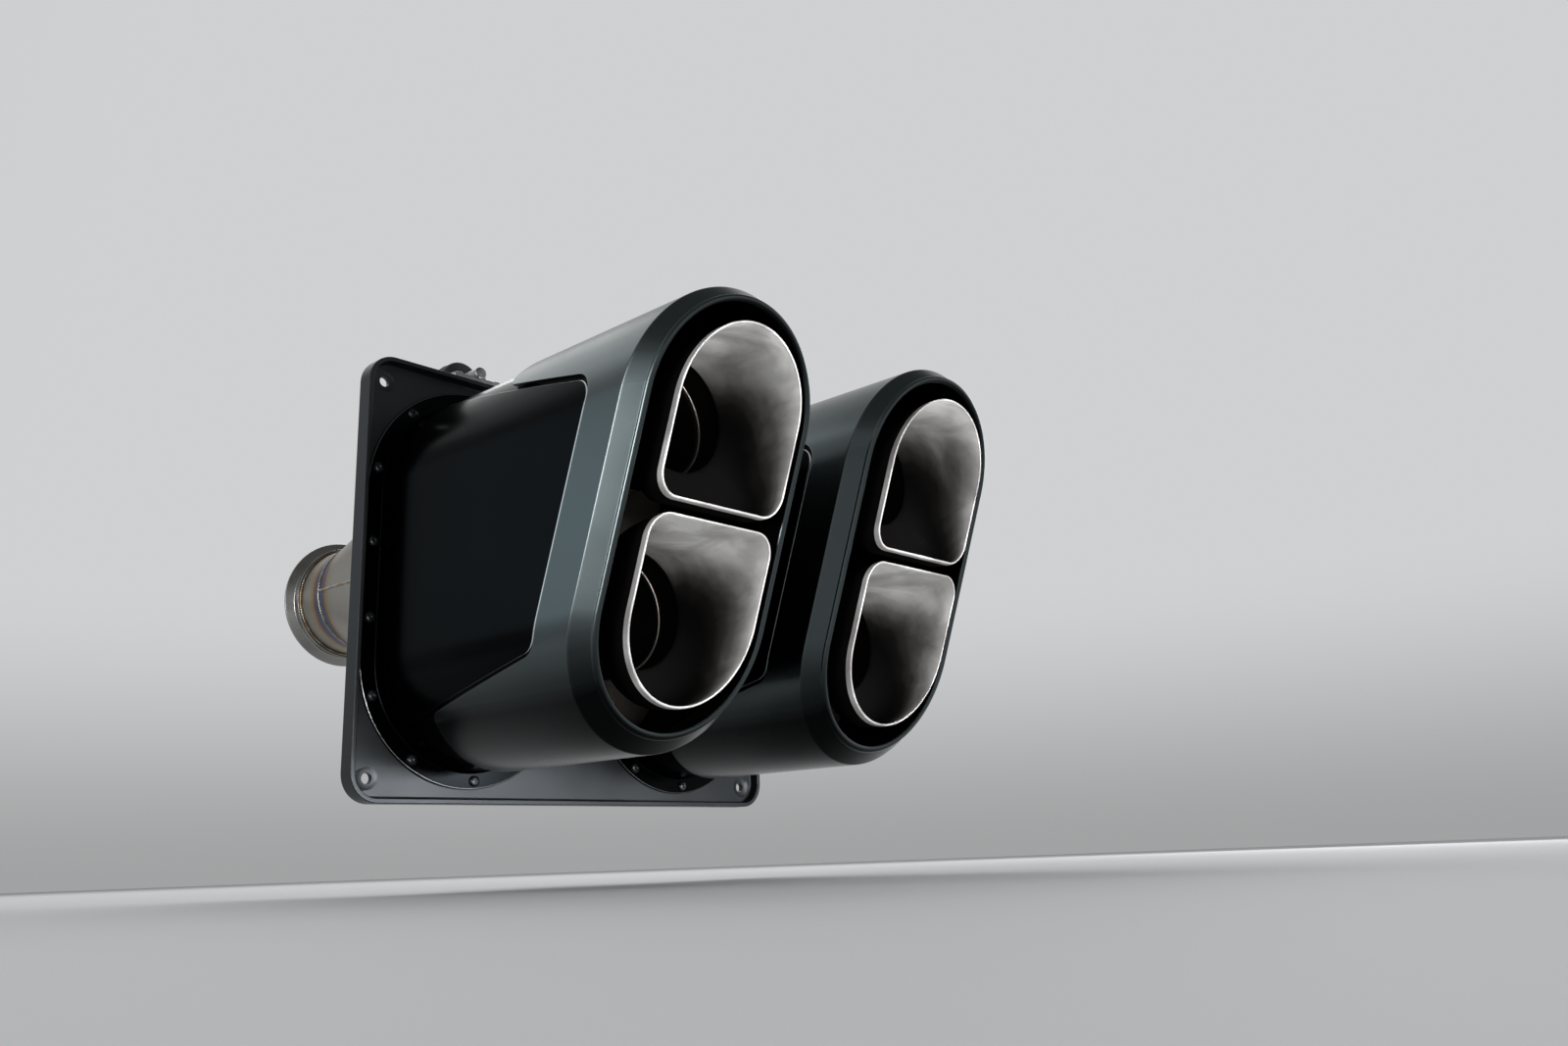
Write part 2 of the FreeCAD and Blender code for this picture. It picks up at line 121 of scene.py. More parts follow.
# Matt wall paint, a little below the lens: it mirrors nothing and throws soft light upwards.
floor_level = camera_place.z - 14 * MM
floor_radius = 8.0
floor_corners = 120
matt_floor_paint = finished_material(
    "matt_floor_paint",
    lambda tree, place: add_node(
        tree, "BsdfPrincipled", {"Base Color": "#e2e3e4", "Roughness": 0.8}
    ),
)
floor_points = []
for i in range(floor_corners):
    turn = math.radians(360 * i / floor_corners)
    floor_points.append((floor_radius * math.cos(turn), floor_radius * math.sin(turn), floor_level))
floor_face = tuple(range(floor_corners))
studio_floor = add_mesh("studio_floor", floor_points, [floor_face], matt_floor_paint)

horizon_light = 0.40
left_wall_light = 0.50
right_wall_light = 0.70
ceiling_light = 0.14
world = bpy.data.worlds.new("pale_studio")
world.use_nodes = True
bpy.context.scene.world = world
sky = world.node_tree
direction = add_node(sky, "TexCoord").outputs["Generated"]
compass = add_node(sky, "SeparateXYZ", {0: direction})
across_studio = {"Value": compass.outputs["X"], "From Min": -0.5, "From Max": 0.3}
across_studio |= {"To Min": left_wall_light, "To Max": right_wall_light}
side_light = add_node(sky, "MapRange", across_studio, interpolation_type="SMOOTHSTEP")
up_wall = {"Value": compass.outputs["Z"], "From Min": 0.0, "From Max": 0.2}
up_wall |= {"To Min": horizon_light, "To Max": side_light}
wall_light = add_node(sky, "MapRange", up_wall, interpolation_type="SMOOTHSTEP")
# The ceiling comes down lower behind the camera, so its height is measured on a leaning line.
leaning_line = (0.0, -0.45, 0.89)
leaning_height = add_node(
    sky, "VectorMath", {0: direction, 1: leaning_line}, operation="DOT_PRODUCT"
)
up_to_ceiling = {"Value": leaning_height.outputs["Value"], "From Min": 0.47, "From Max": 0.69}
up_to_ceiling |= {"To Min": wall_light, "To Max": ceiling_light}
light = add_node(sky, "MapRange", up_to_ceiling, interpolation_type="SMOOTHSTEP")
background = sky.nodes["Background"]
background.inputs["Color"].default_value = hex_colour("#f3f4f5")
sky.links.new(light.outputs[0], background.inputs["Strength"])

# Each box has a name, a place and size in metres, watts, a spread in degrees and a colour.
soft_boxes = [
    ("left_box", (-2.95, -0.8, 0.4), (1.1, 1.2), 22, 180, "#ffffff"),
    ("low_left_box", (-1.75, -0.66, -0.06), (0.5, 0.34), 4.2, 140, "#ffffff"),
    ("left_front_box", (-2.3, 2.1, 0.75), (1.2, 1.0), 2.6, 180, "#d6f2ff"),
    ("top_front_box", (-0.3, 2.3, 2.2), (2.6, 1.2), 8, 180, "#ffffff"),
    ("front_right_box", (1.6, 2.0, 2.5), (1.5, 1.5), 26, 180, "#ffffff"),
    ("right_box", (3.0, 0.0, 0.9), (1.4, 1.2), 18, 180, "#ffffff"),
    ("low_rear_box", (0.15, -1.25, -0.18), (1.2, 0.14), 7.0, 80, "#ffffff"),
]
# Light linking keeps the light of some boxes off the floor or off a shell, as black flags would; no
# flag is modelled.
flags = {}
for name in ("left_box", "low_left_box", "front_right_box", "low_rear_box"):
    flags[name] = bpy.data.collections.new("kept_out_of_" + name)


def keep_out(piece, *boxes):
    """Keeps a piece out of the light of these boxes."""
    for box in boxes:
        flags[box].objects.link(piece)
        flags[box].collection_objects[-1].light_linking.link_state = "EXCLUDE"


keep_out(studio_floor, "low_left_box", "low_rear_box")
aim_point = Vector((0.0, -0.2, 0.0))
for name, place, size, power, spread, colour in soft_boxes:
    area = bpy.data.lights.new(name, "AREA")
    area.shape = "RECTANGLE"
    area.size, area.size_y = size
    area.energy = power
    area.spread = math.radians(spread)
    area.color = hex_colour(colour)[:3]
    lamp = bpy.data.objects.new(name, area)
    lamp.location = place
    lamp.visible_camera = False
    if name in flags:
        lamp.light_linking.receiver_collection = flags[name]
    lamp.rotation_euler = (Vector(place) - aim_point).to_track_quat("Z", "Y").to_euler()
    bpy.context.scene.collection.objects.link(lamp)

# The standard view keeps the blacks of soot and anodising as deep as they are.
bpy.context.scene.view_settings.view_transform = "Standard"

# The carrier is one aluminium plate with a rim, milled from the solid and hard-anodised black.
# Four bolts through its corner holes hold it on a cross-member, and both housings hang on it.
housing_pitch = 241.0
sides = {"left": -housing_pitch / 2, "right": housing_pitch / 2}
carrier_size = (232.0, 188.0)
carrier_thickness = 6.0
carrier_corner = 24.0
carrier_rim_depth = 10.0
carrier_rim_wall = 4.0
carrier_ease = 0.7
carrier_fillet = 2.0
duct_bore = (88.7, 160.0)
bolt_place = (212.0, 168.0)
bolt_hole_radius = 4.5
spot_face_width = 4.6
spot_face_depth = 0.8


def swept(start, end, steps):
    """Cosine and sine pairs from one angle to another, in degrees."""
    turns = [math.radians(start + (end - start) * i / steps) for i in range(steps + 1)]
    return [(math.cos(turn), math.sin(turn)) for turn in turns]


def grown(size, by):
    """A size made larger all round, or smaller by a negative amount."""
    return size[0] + by, size[1] + by


def cornered_outline(size, corner, steps=10):
    """A rectangle with round corners, as points."""
    points = []
    inner = grown(size, -corner)
    for i, (across, up) in enumerate(((1, 1), (-1, 1), (-1, -1), (1, -1))):
        for cosine, sine in swept(90 * i, 90 * i + 90, steps):
            points.append((across * inner[0] + corner * cosine, up * inner[1] + corner * sine))
    return points


def pill_outline(size, x=0.0, z=0.0, steps=40):
    """A pill with half-round ends, as points."""
    straight = size[1] - size[0]
    points = []
    for end, start in ((1, 0), (-1, 180)):
        for cosine, sine in swept(start, start + 180, steps):
            points.append((x + size[0] * cosine, z + end * straight + size[0] * sine))
    return points


def round_outline(radius, x=0.0, z=0.0, steps=48):
    """A circle, as points."""
    return [(x + radius * c, z + radius * s) for c, s in swept(0, 360, steps)[:-1]]


def pill_loop(size, x, z=0.0, steps=40):
    """A pill-shaped rim or hole of a plate, as a function from growth to its outline."""
    return lambda growth: pill_outline(grown(size, growth), x, z, steps)


def round_loop(radius, x, z, steps=48):
    """A round hole of a plate, as a function from growth to its outline."""
    return lambda growth: round_outline(radius + growth, x, z, steps)


def eased(growth, y, radius, side, ahead, steps=3):
    """Profile steps round an edge, from the face at y onto the wall at this growth. side is 1 on
    a rim and -1 in a hole, and ahead is the way along y, 1 or -1, in which the wall runs."""
    return [
        (growth - side * radius * (1 - c), y + ahead * radius * (1 - s))
        for c, s in swept(90, 0, steps)
    ]


def through(front_y, rear_y, ease):
    """A hole's profile from the front face to the rear face, eased at both ends."""
    return eased(0, front_y, ease, -1, -1) + eased(0, rear_y, ease, -1, 1)[::-1]


def mirrored(half, middle_y):
    """A profile and its mirror image about the plane at middle_y."""
    return half + [(growth, 2 * middle_y - y) for growth, y in reversed(half)]


def even_normals(piece):
    """Keeps long flats flat beside their small round edges."""
    weighted = piece.modifiers.new("even_normals", "WEIGHTED_NORMAL")
    weighted.keep_sharp = True
    return piece


def cut_plate(name, loops, material):
    """A plate square to Y. Each loop is a function from growth to an outline, and its profile as
    (growth, y) steps from one face to the other. The first loop is the rim, the rest are holes."""
    points = []
    faces = []
    face_loops = ([], [])
    for outline, profile in loops:
        first = len(points)
        count = len(outline(0))
        for growth, y in profile:
            points += [Vector((px, y, pz)) * MM for px, pz in outline(growth)]
        for i in range(len(profile) - 1):
            a = first + i * count
            for j in range(count):
                k = (j + 1) % count
                faces.append((a + j, a + k, a + count + k, a + count + j))
        face_loops[0].append(range(first, first + count))
        face_loops[1].append(range(len(points) - count, len(points)))
    for loops_there in face_loops:
        order = [i for loop in loops_there for i in loop]
        outlines = [[Vector((points[i].x, points[i].z, 0)) for i in loop] for loop in loops_there]
        faces += [tuple(order[i] for i in corner) for corner in tessellate_polygon(outlines)]
    return even_normals(add_mesh(name, points, faces, material))


def fit_out(piece, slot, *nodes):
    """The piece rides on the one body and stands for these CAD nodes, which are hidden. slot is not
    used.
    """
    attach(piece, "root")
    if nodes:
        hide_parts(*nodes)
    return piece


# Most of a noise lies between these values. They are spread over the range that it drives.
noise_span = {"From Min": 0.3, "From Max": 0.7}


def milled_metal(tree, place):
    """Milled and hard-anodised: a dense charcoal skin over the fine strokes of the end mill."""
    clouds = {"Vector": place, "Scale": 14.0, "Detail": 5.0}
    cloud = add_node(tree, "TexNoise", clouds)
    # One stroke each 1.6 mm. A wave's period is 0.314 of its unit, so its scale is 0.314 / pitch.
    stroke_pitch = 1.6 * MM
    waves = {"Vector": place, "Scale": 0.314 / stroke_pitch, "Distortion": 0.6, "Detail": 1.0}
    strokes = add_node(tree, "TexWave", waves, bands_direction="Z").outputs[1]
    tones = {0: cloud, 6: "#26282a", 7: "#34373a"}
    tone = add_node(tree, "Mix", tones, data_type="RGBA").outputs[2]
    sheen_span = {"Value": cloud, **noise_span, "To Min": 0.34, "To Max": 0.46}
    sheen = add_node(tree, "MapRange", sheen_span)
    relief = {"Height": strokes, "Strength": 0.12, "Distance": 0.02 * MM}
    marks = add_node(tree, "Bump", relief)
    skin = {"Base Color": tone, "Metallic": 0.8, "Roughness": sheen, "Normal": marks}
    return add_node(tree, "BsdfPrincipled", skin)


hard_anodised_plate = finished_material("aluminium_milled_hard_anodised", milled_metal)
carrier_depth = carrier_thickness + carrier_rim_depth
inner_wall = -carrier_rim_wall
plate_edge = eased(0, 0, carrier_ease, 1, -1)
plate_edge += eased(0, -carrier_depth, carrier_ease, 1, 1)[::-1]
plate_edge += eased(inner_wall, -carrier_depth, carrier_ease, -1, 1)
plate_edge += eased(inner_wall, -carrier_thickness, carrier_fillet, 1, -1, 4)[::-1]


def carrier_outline(growth):
    """The carrier's outline, as points."""
    return cornered_outline(grown(carrier_size, growth), carrier_corner + growth)


carrier_loops = [(carrier_outline, plate_edge)]
for x in sides.values():
    carrier_loops.append((pill_loop(duct_bore, x), through(0, -carrier_thickness, 0.5)))
# Each bolt hole has a shallow ring milled round it on the rear face for the bolt's head.
spot_face_y = spot_face_depth - carrier_thickness
bolt_hole = [(0.5, 0.0), (0.1, -0.2), (0.0, -0.5), (0.0, spot_face_y + 0.3), (0.2, spot_face_y)]
bolt_hole += [(spot_face_width, spot_face_y), (spot_face_width + 0.2, -carrier_thickness)]
for x in (-bolt_place[0], bolt_place[0]):
    for z in (-bolt_place[1], bolt_place[1]):
        carrier_loops.append((round_loop(bolt_hole_radius, x, z), bolt_hole))
carrier_plate = cut_plate("carrier_plate", carrier_loops, hard_anodised_plate)
fit_out(carrier_plate, "carrier_aluminium", "carrier")

# The sleeves are the ducts inside the finishers, of rolled aluminium sheet anodised near black.
# A flat panel stands up in each window with a groove round it, and a flange sits on the carrier.
mouth_y = -306.0
lean = math.tan(math.radians(19.7))
shell_size = (93.3, 164.6)
shell_depth = 188.5
window_setback = 55.0
window_half_height = 95.8
window_rise = math.tan(math.radians(11.75))
window_corner = 18.0
nose_round = 12.0
sleeve_size = (90.5, 161.8)
sleeve_wall = 1.8
sleeve_start = 34.0
groove_width = 3.0
groove_depth = 1.2
land_depth = 150.0
flange_y = -8.5
flange_width = 14.0
panel_round = 1.2
panel_clearance = 6.0


def leaning_y(depth, z):
    """The y of a point at this depth behind the leaning mouth."""
    return mouth_y + depth - lean * z


def rounded_outline(points, radii, steps=10):
    """A side outline as (z, y) rows, with an arc of the given radius for each inner corner."""
    rows = [points[0]]
    for before, corner, after, radius in zip(points, points[1:], points[2:], radii):
        back = (Vector(before) - Vector(corner)).normalized()
        ahead = (Vector(after) - Vector(corner)).normalized()
        half = back.angle(ahead) / 2
        middle = Vector(corner) + (back + ahead).normalized() * (radius / math.sin(half))
        start = Vector(corner) + back * (radius / math.tan(half)) - middle
        end = Vector(corner) + ahead * (radius / math.tan(half)) - middle
        swing = start.angle(end)
        for step in range(steps + 1):
            share = step / steps
            point = start * math.sin((1 - share) * swing) + end * math.sin(share * swing)
            rows.append(tuple(middle + point / math.sin(swing)))
    return rows + [points[-1]]


def window_points(inset, far_depth):
    """The corners of a window's outline as (z, y), from below to above, drawn in by an inset."""
    near = window_setback + inset
    low = window_half_height - inset + inset * window_rise
    high = low + (far_depth - near) * window_rise
    corners = ((-high, far_depth), (-low, near), (low, near), (high, far_depth))
    return [(z, leaning_y(depth, z)) for z, depth in corners]


def edge_y(rows, z):
    """The y of an outline at this height."""
    for (z0, y0), (z1, y1) in zip(rows, rows[1:]):
        if z0 <= z <= z1 and z1 > z0:
            return y0 + (y1 - y0) * (z - z0) / (z1 - z0)
    return rows[0][1] if z < rows[0][0] else rows[-1][1]


def pill_rows(size, heights, spacing=3):
    """Directions round a pill as (across, end, rise), with rows at these heights in its flanks."""
    half_width, half_height = size
    straight = half_height - half_width
    rows = []
    for end in (1, -1):
        above = [end * z - straight for z in heights]
        steep = [math.degrees(math.asin(a / half_width)) for a in above if 0 < a < half_width]
        steep += [180 - turn for turn in steep]
        even = [t for t in range(0, 181, spacing) if all(abs(t - s) > 0.6 for s in steep)]
        for turn in sorted(steep + even):
            angle = math.radians(turn)
            rows.append((end * math.cos(angle), end, math.sin(angle)))
        flat = [z for z in heights if abs(z) < straight - 1]
        flat += [straight * step / 6 for step in range(-5, 6)]
        rows += [(-end, z / straight, 0.0) for z in sorted(flat, reverse=end == 1)]
    return rows


def pill_place(row, size):
    """The x and z of a direction on a pill of this size."""
    across, end, rise = row
    half_width, half_height = size
    z = end * (half_height - half_width) + math.copysign(rise, end) * half_width
    return across * half_width, z


def ring_skin(name, groups, material, values=None, closed=True):
    """Skins through groups of rings of points in mm. Closed, a group's last ring joins its first;
    open, both are capped. values gives the attribute named wear, as a number or a list a ring."""
    points = []
    faces = []
    for rings in groups:
        first = len(points)
        across = len(rings[0])
        points += [Vector(point) * MM for ring in rings for point in ring]
        for i in range(len(rings) if closed else len(rings) - 1):
            a = first + i * across
            b = first + (i + 1) % len(rings) * across
            for j in range(across):
                k = (j + 1) % across
                faces.append((a + j, a + k, b + k, b + j))
        if not closed:
            faces.append(tuple(range(first, first + across)))
            faces.append(tuple(range(len(points) - across, len(points))))
    piece = add_mesh(name, points, faces, material)
    wear = piece.data.attributes.new("wear", "FLOAT", "POINT")
    ring_values = values or [0.0] * len(groups[0])
    spread = []
    for rings in groups:
        for value, ring in zip(ring_values, rings):
            spread += value if isinstance(value, list) else [value] * len(ring)
    wear.data.foreach_set("value", spread)
    return even_normals(piece)


def blasted_metal(
    tree, place, dark, pale, wear_and_highlight, rough, grit_mm, depth_mm, glance="#ffffff"
):
    """Anodised metal after bead blasting: cloudy tone, fine grit and paler edges where wear is
    high, some of them painted highlights; grooves, gaps and what faces down get painted shade.
    glance tints what it mirrors at a low angle."""
    clouds = {"Vector": place, "Scale": 16.0, "Detail": 4.0}
    cloud = add_node(tree, "TexNoise", clouds)
    # The grit's real grain is about 0.1 mm. It is drawn coarser so that it shows at all.
    grains = {"Vector": place, "Scale": 1.0 / (grit_mm * MM), "Detail": 2.0}
    grit = add_node(tree, "TexNoise", grains)
    tones = {0: cloud, 6: dark, 7: pale}
    tone = add_node(tree, "Mix", tones, data_type="RGBA").outputs[2]
    edge = add_node(tree, "Attribute", attribute_name="wear").outputs["Fac"]
    rubbed_and_highlit = add_node(tree, "Math", {0: edge, 1: grit}, operation="MULTIPLY")
    # Where wear is below 0, painted shade fills a groove or gap: it is painted near black.
    painted_recess_shade = add_node(
        tree, "Math", {0: edge, 1: -1.0}, operation="MULTIPLY", use_clamp=True
    )
    # Painted shade: what faces down is painted darker, towards near black.
    facing = add_node(tree, "TexCoord").outputs["Normal"]
    upward = add_node(tree, "SeparateXYZ", {0: facing}).outputs["Z"]
    underside_shade_span = {"Value": upward, "From Min": -0.25, "From Max": -0.65}
    underside_shade_span |= {"To Min": 0.0, "To Max": 0.93}
    painted_underside_shade = add_node(tree, "MapRange", underside_shade_span)
    for cover, colour in ((rubbed_and_highlit, wear_and_highlight), (painted_recess_shade, "#070808"), (painted_underside_shade, "#070707")):
        layers = {0: cover, 6: tone, 7: colour}
        tone = add_node(tree, "Mix", layers, data_type="RGBA").outputs[2]
    sheen_span = {"Value": cloud, **noise_span, "To Min": rough[0], "To Max": rough[1]}
    sheen = add_node(tree, "MapRange", sheen_span)
    relief = {"Height": grit, "Strength": 0.25, "Distance": depth_mm * MM}
    pitted = add_node(tree, "Bump", relief)
    skin = {"Base Color": tone, "Metallic": 1.0, "Roughness": sheen, "Normal": pitted}
    return add_node(tree, "BsdfPrincipled", {**skin, "Specular Tint": glance})


# Rolled and only lightly blasted, the sheet is darker and glossier than the shell over it. Its
# dense black oxide soaks up light at a low angle too.
# Its pale edge colour paints both edge wear and the painted highlight along each panel's edge.
anodised_sleeve = finished_material(
    "aluminium_sheet_anodised_black",
    lambda tree, place: blasted_metal(
        tree, place, "#0a0b0c", "#131618", "#dfe3e4", (0.18, 0.24), 0.5, 0.02, glance="#d0d0d0"
    ),
)

far_depth = 420.0
above_all = shell_size[1] + 5
shell_corners = [(-above_all, leaning_y(shell_depth, -above_all))]
shell_corners += window_points(0, shell_depth)
shell_corners.append((above_all, leaning_y(shell_depth, above_all)))
shell_radii = (nose_round, window_corner, window_corner, nose_round)
shell_outline = rounded_outline(shell_corners, shell_radii)
window_outline = rounded_outline(window_points(0, far_depth), (window_corner,) * 2)
panel_corner = window_corner - groove_width
panel_outline = rounded_outline(window_points(groove_width, far_depth), (panel_corner,) * 2)
outline_heights = [z for z, y in shell_outline + panel_outline]
outline_heights = sorted({round(z, 1) for z in outline_heights if abs(z) < shell_size[1] - 0.5})
housing_rows = pill_rows(shell_size, outline_heights)

# Each row is a growth of the sleeve's size, what y is measured from, that distance, and wear.
sleeve_profile = [
    (-sleeve_wall, "mouth", sleeve_start, 0),
    (-0.3, "mouth", sleeve_start, 0),
    (0, "mouth", sleeve_start + 0.3, 0),
    (0, "mouth", sleeve_start + 3, 0),
    # The groove's rows have wear -1: painted shade, near black.
    (0, "low", -1.0, -1),
    (0, "low", -0.2, -1),
    (-groove_depth, "low", 0.2, -1),
    (-groove_depth, "panel", -0.2, -1),
]
# The panel's rounded edge gets wear far above 1, which paints it near white: edge wear and a
# painted highlight, the thin bright line along it.
panel_edge_highlight = 2.4
for cosine, sine in swept(180, 90, 4):
    rise = -panel_round * (1 - sine)
    sleeve_profile.append((rise, "panel", panel_round * (1 + cosine), panel_edge_highlight))
flange_edge_wear = 0.4
sleeve_profile += [
    (0, "panel", 2.2, 0),
    (0, "panel", 2.4, 0),
    (0, "front", flange_y - 1.0, 0),
    (0.25, "front", flange_y - 0.3, 0),
    (1.0, "front", flange_y, 0),
    (flange_width - 1.2, "front", flange_y, 0),
    (flange_width - 0.6, "front", flange_y, flange_edge_wear),
    (flange_width - 0.2, "front", flange_y + 0.2, flange_edge_wear),
    (flange_width, "front", flange_y + 0.6, flange_edge_wear),
    (flange_width, "front", -carrier_thickness, 0),
    (-sleeve_wall, "front", -carrier_thickness, 0),
]
for side, x in sides.items():
    rings = []
    for rise, measure, distance, wear in sleeve_profile:
        ring = []
        for row in housing_rows:
            outer_z = pill_place(row, shell_size)[1]
            panel_y = edge_y(panel_outline, outer_z)
            reached = panel_y < flange_y - panel_clearance
            panel_y = min(panel_y, flange_y - panel_clearance)
            # Where no panel stands at this height, the wall stays down in the groove.
            lowered = -groove_depth < rise <= 0 and not reached and measure in ("panel", "front")
            px, pz = pill_place(row, grown(sleeve_size, -groove_depth if lowered else rise))
            y = distance
            if measure == "mouth":
                y = leaning_y(distance, pz)
            elif measure == "low":
                groove_y = min(edge_y(window_outline, outer_z), leaning_y(land_depth, outer_z))
                y = groove_y + distance
            elif measure == "panel":
                y = panel_y + distance
            ring.append((x + px, y, pz))
        rings.append(ring)
    wear_values = [wear for rise, measure, distance, wear in sleeve_profile]
    duct = ring_skin("sleeve_duct_" + side, [rings], anodised_sleeve, wear_values)
    fit_out(duct, "sleeve_anodised", "sleeve_" + side)

# Fourteen M5 button-head screws hold each sleeve's flange on the carrier.
# They are of alloy steel with a black oxide finish.
flange_screws = 14
screw_radius = 4.75
screw_height = 2.75
socket_half_width = 1.5
head_corners = 36


def oiled_steel(tree, place):
    """Black oxide on steel: a thin blue-black skin, a little oily, paler where tools rub it."""
    smears = {"Vector": place, "Scale": 240.0, "Detail": 3.0}
    smear = add_node(tree, "TexNoise", smears)
    tones = {0: smear, 6: "#1a1b1d", 7: "#3b3d40"}
    tone = add_node(tree, "Mix", tones, data_type="RGBA").outputs[2]
    gloss_span = {"Value": smear, **noise_span, "To Min": 0.26, "To Max": 0.42}
    gloss = add_node(tree, "MapRange", gloss_span)
    skin = {"Base Color": tone, "Metallic": 0.9, "Roughness": gloss}
    return add_node(tree, "BsdfPrincipled", skin)


black_oxide_steel = finished_material("steel_black_oxide", oiled_steel)


def screw_heads(name, places, direction):
    """One piece with a button head at each place in mm, standing out in this direction."""
    dome_start = 0.22 * screw_height
    top_radius = 1.3 * socket_half_width
    profile = [(screw_radius - 0.15, 0.0, False), (screw_radius, 0.15, False)]
    for cosine, sine in swept(0, 90, 6):
        radius = top_radius + (screw_radius - top_radius) * cosine
        profile.append((radius, dome_start + (screw_height - dome_start) * sine, False))
    profile += [
        (socket_half_width * 1.05, screw_height, True),
        (socket_half_width, screw_height - 0.2, True),
        (socket_half_width, screw_height * 0.4, True),
    ]
    turn_to = Vector((0, 0, 1)).rotation_difference(Vector(direction))
    heads = []
    for place in places:
        rings = []
        for radius, height, six_sided in profile:
            ring = []
            for i in range(head_corners):
                degrees = 360 * i / head_corners
                reach = radius
                if six_sided:
                    reach = radius / math.cos(math.radians((degrees + 30) % 60 - 30))
                angle = math.radians(degrees)
                point = Vector((reach * math.cos(angle), reach * math.sin(angle), height))
                ring.append(Vector(place) + turn_to @ point)
            rings.append(ring)
        heads.append(rings)
    return ring_skin(name, heads, black_oxide_steel, closed=False)


def pill_walk(size, count):
    """Points evenly spaced round a pill, as (x, z), with none at its crown."""
    half_width, half_height = size
    straight = half_height - half_width
    bow = math.pi * half_width
    lap = 2 * bow + 4 * straight
    points = []
    for i in range(count):
        walked = (i + 0.5) * lap / count + straight
        for end in (1, -1):
            if 0 <= walked - straight < bow + 2 * straight:
                along = walked - straight
                turn = min(along, bow) / half_width
                down = max(0.0, along - bow)
                across = half_width * math.cos(turn)
                up = straight - down + half_width * math.sin(turn)
                points.append((end * across, end * up))
            walked -= bow + 2 * straight
            walked += lap if walked < straight else 0
    return points


screw_line = grown(sleeve_size, flange_width / 2)
for side, x in sides.items():
    places = [(x + px, flange_y, pz) for px, pz in pill_walk(screw_line, flange_screws)]
    screws = screw_heads("sleeve_screws_" + side, places, (0, -1, 0))
    fit_out(screws, "arm_zinc")

# The finishers are two aluminium shells, bead-blasted and anodised slate grey, seen first of all.
# Each is a pill-shaped tube with a leaning bevelled mouth, a round lip and a window in each flank.
lip_size = (83.1, 155.6)
lip_wall = 6.0
lip_stand = 3.4
return_depth = 28.0
return_wall = 2.2
bevel_depth = 16.3
bezel_floor = 2.0
shell_wall = 2.5
edge_round = 0.6
corner_round = 0.8

# Blasted before anodising, the surface gives a broad soft sheen and no clear reflections.
anodised_shell = finished_material(
    "aluminium_blasted_anodised_slate",
    lambda tree, place: blasted_metal(
        tree, place, "#50585a", "#5a6263", "#8f9899", (0.23, 0.28), 0.5, 0.03
    ),
)

lip_round = lip_wall / 2
inner_size = grown(shell_size, -shell_wall)
mouth_size = grown(lip_size, -lip_wall)
crest_size = grown(lip_size, -lip_round)
return_size = grown(mouth_size, return_wall)


def on_bevel(share):
    """The pill size and depth on the bevel, from its outer edge at 0 to the lip's foot at 1."""
    size = tuple(a + (b - a) * share for a, b in zip(shell_size, lip_size))
    return size, bevel_depth + (lip_stand - bevel_depth) * share


# Each row is a pill size, what y is measured from, that distance, and wear. The profile runs
# forward inside, round the front edge, back to the mouth, over the lip and into its return.
shell_profile = [
    (inner_size, "mouth", bevel_depth + bezel_floor, 0),
    (inner_size, "mouth", bevel_depth + 12, 0),
    (inner_size, "front", -6, 0),
]
# The inside of the front edge gets wear -1: painted shade in the gap beside the sleeve.
for cosine, sine in swept(180, 90, 3):
    size = grown(inner_size, edge_round * (1 + cosine))
    shell_profile.append((size, "front", edge_round * (sine - 1), -1))
front_edge_wear = 0.3
for cosine, sine in swept(90, 0, 3):
    size = grown(shell_size, edge_round * (cosine - 1))
    shell_profile.append((size, "front", edge_round * (sine - 1), front_edge_wear))
shell_profile += [
    (shell_size, "front", -2.5, 0),
    (shell_size, "mouth", bevel_depth + 16, 0),
    (shell_size, "mouth", bevel_depth + 2.4, 0),
]
mouth_edge_wear = 0.15
corner_steps = 4
for step in range(corner_steps + 1):
    share = step / corner_steps
    size, depth = on_bevel(0.05 * share**2)
    depth += corner_round * (1 - share) ** 2
    shell_profile.append((size, "mouth", depth, mouth_edge_wear))
for share in (0.12, 0.5, 0.9, 0.985, 1.0):
    size, depth = on_bevel(share)
    shell_profile.append((size, "mouth", depth, 0))
shell_profile.append((lip_size, "mouth", lip_stand - 0.2, 0))
for cosine, sine in swept(0, 180, 14):
    size = grown(crest_size, lip_round * cosine)
    shell_profile.append((size, "mouth", lip_round * (1 - sine), mouth_edge_wear))
shell_profile += [
    (mouth_size, "mouth", lip_round + 1, 0),
    (mouth_size, "mouth", return_depth - 1, 0),
    (mouth_size, "mouth", return_depth, 0),
    (return_size, "mouth", return_depth, 0),
    (return_size, "mouth", return_depth - 1, 0),
    (return_size, "mouth", bevel_depth + bezel_floor, 0),
]
for side, x in sides.items():
    rings = []
    for size, measure, distance, wear in shell_profile:
        ring = []
        for row in housing_rows:
            px, pz = pill_place(row, size)
            y = leaning_y(distance, pz)
            if measure == "front":
                y = edge_y(shell_outline, pill_place(row, shell_size)[1]) + distance
            ring.append((x + px, y, pz))
        rings.append(ring)
    wear_values = [wear for size, measure, distance, wear in shell_profile]
    shell = ring_skin("finisher_shell_" + side, [rings], anodised_shell, wear_values)
    fit_out(shell, "bezel_anodised", "finisher_" + side)
    keep_out(shell, "front_right_box", "low_rear_box")
    if side == "right":
        keep_out(shell, "left_box", "low_left_box")

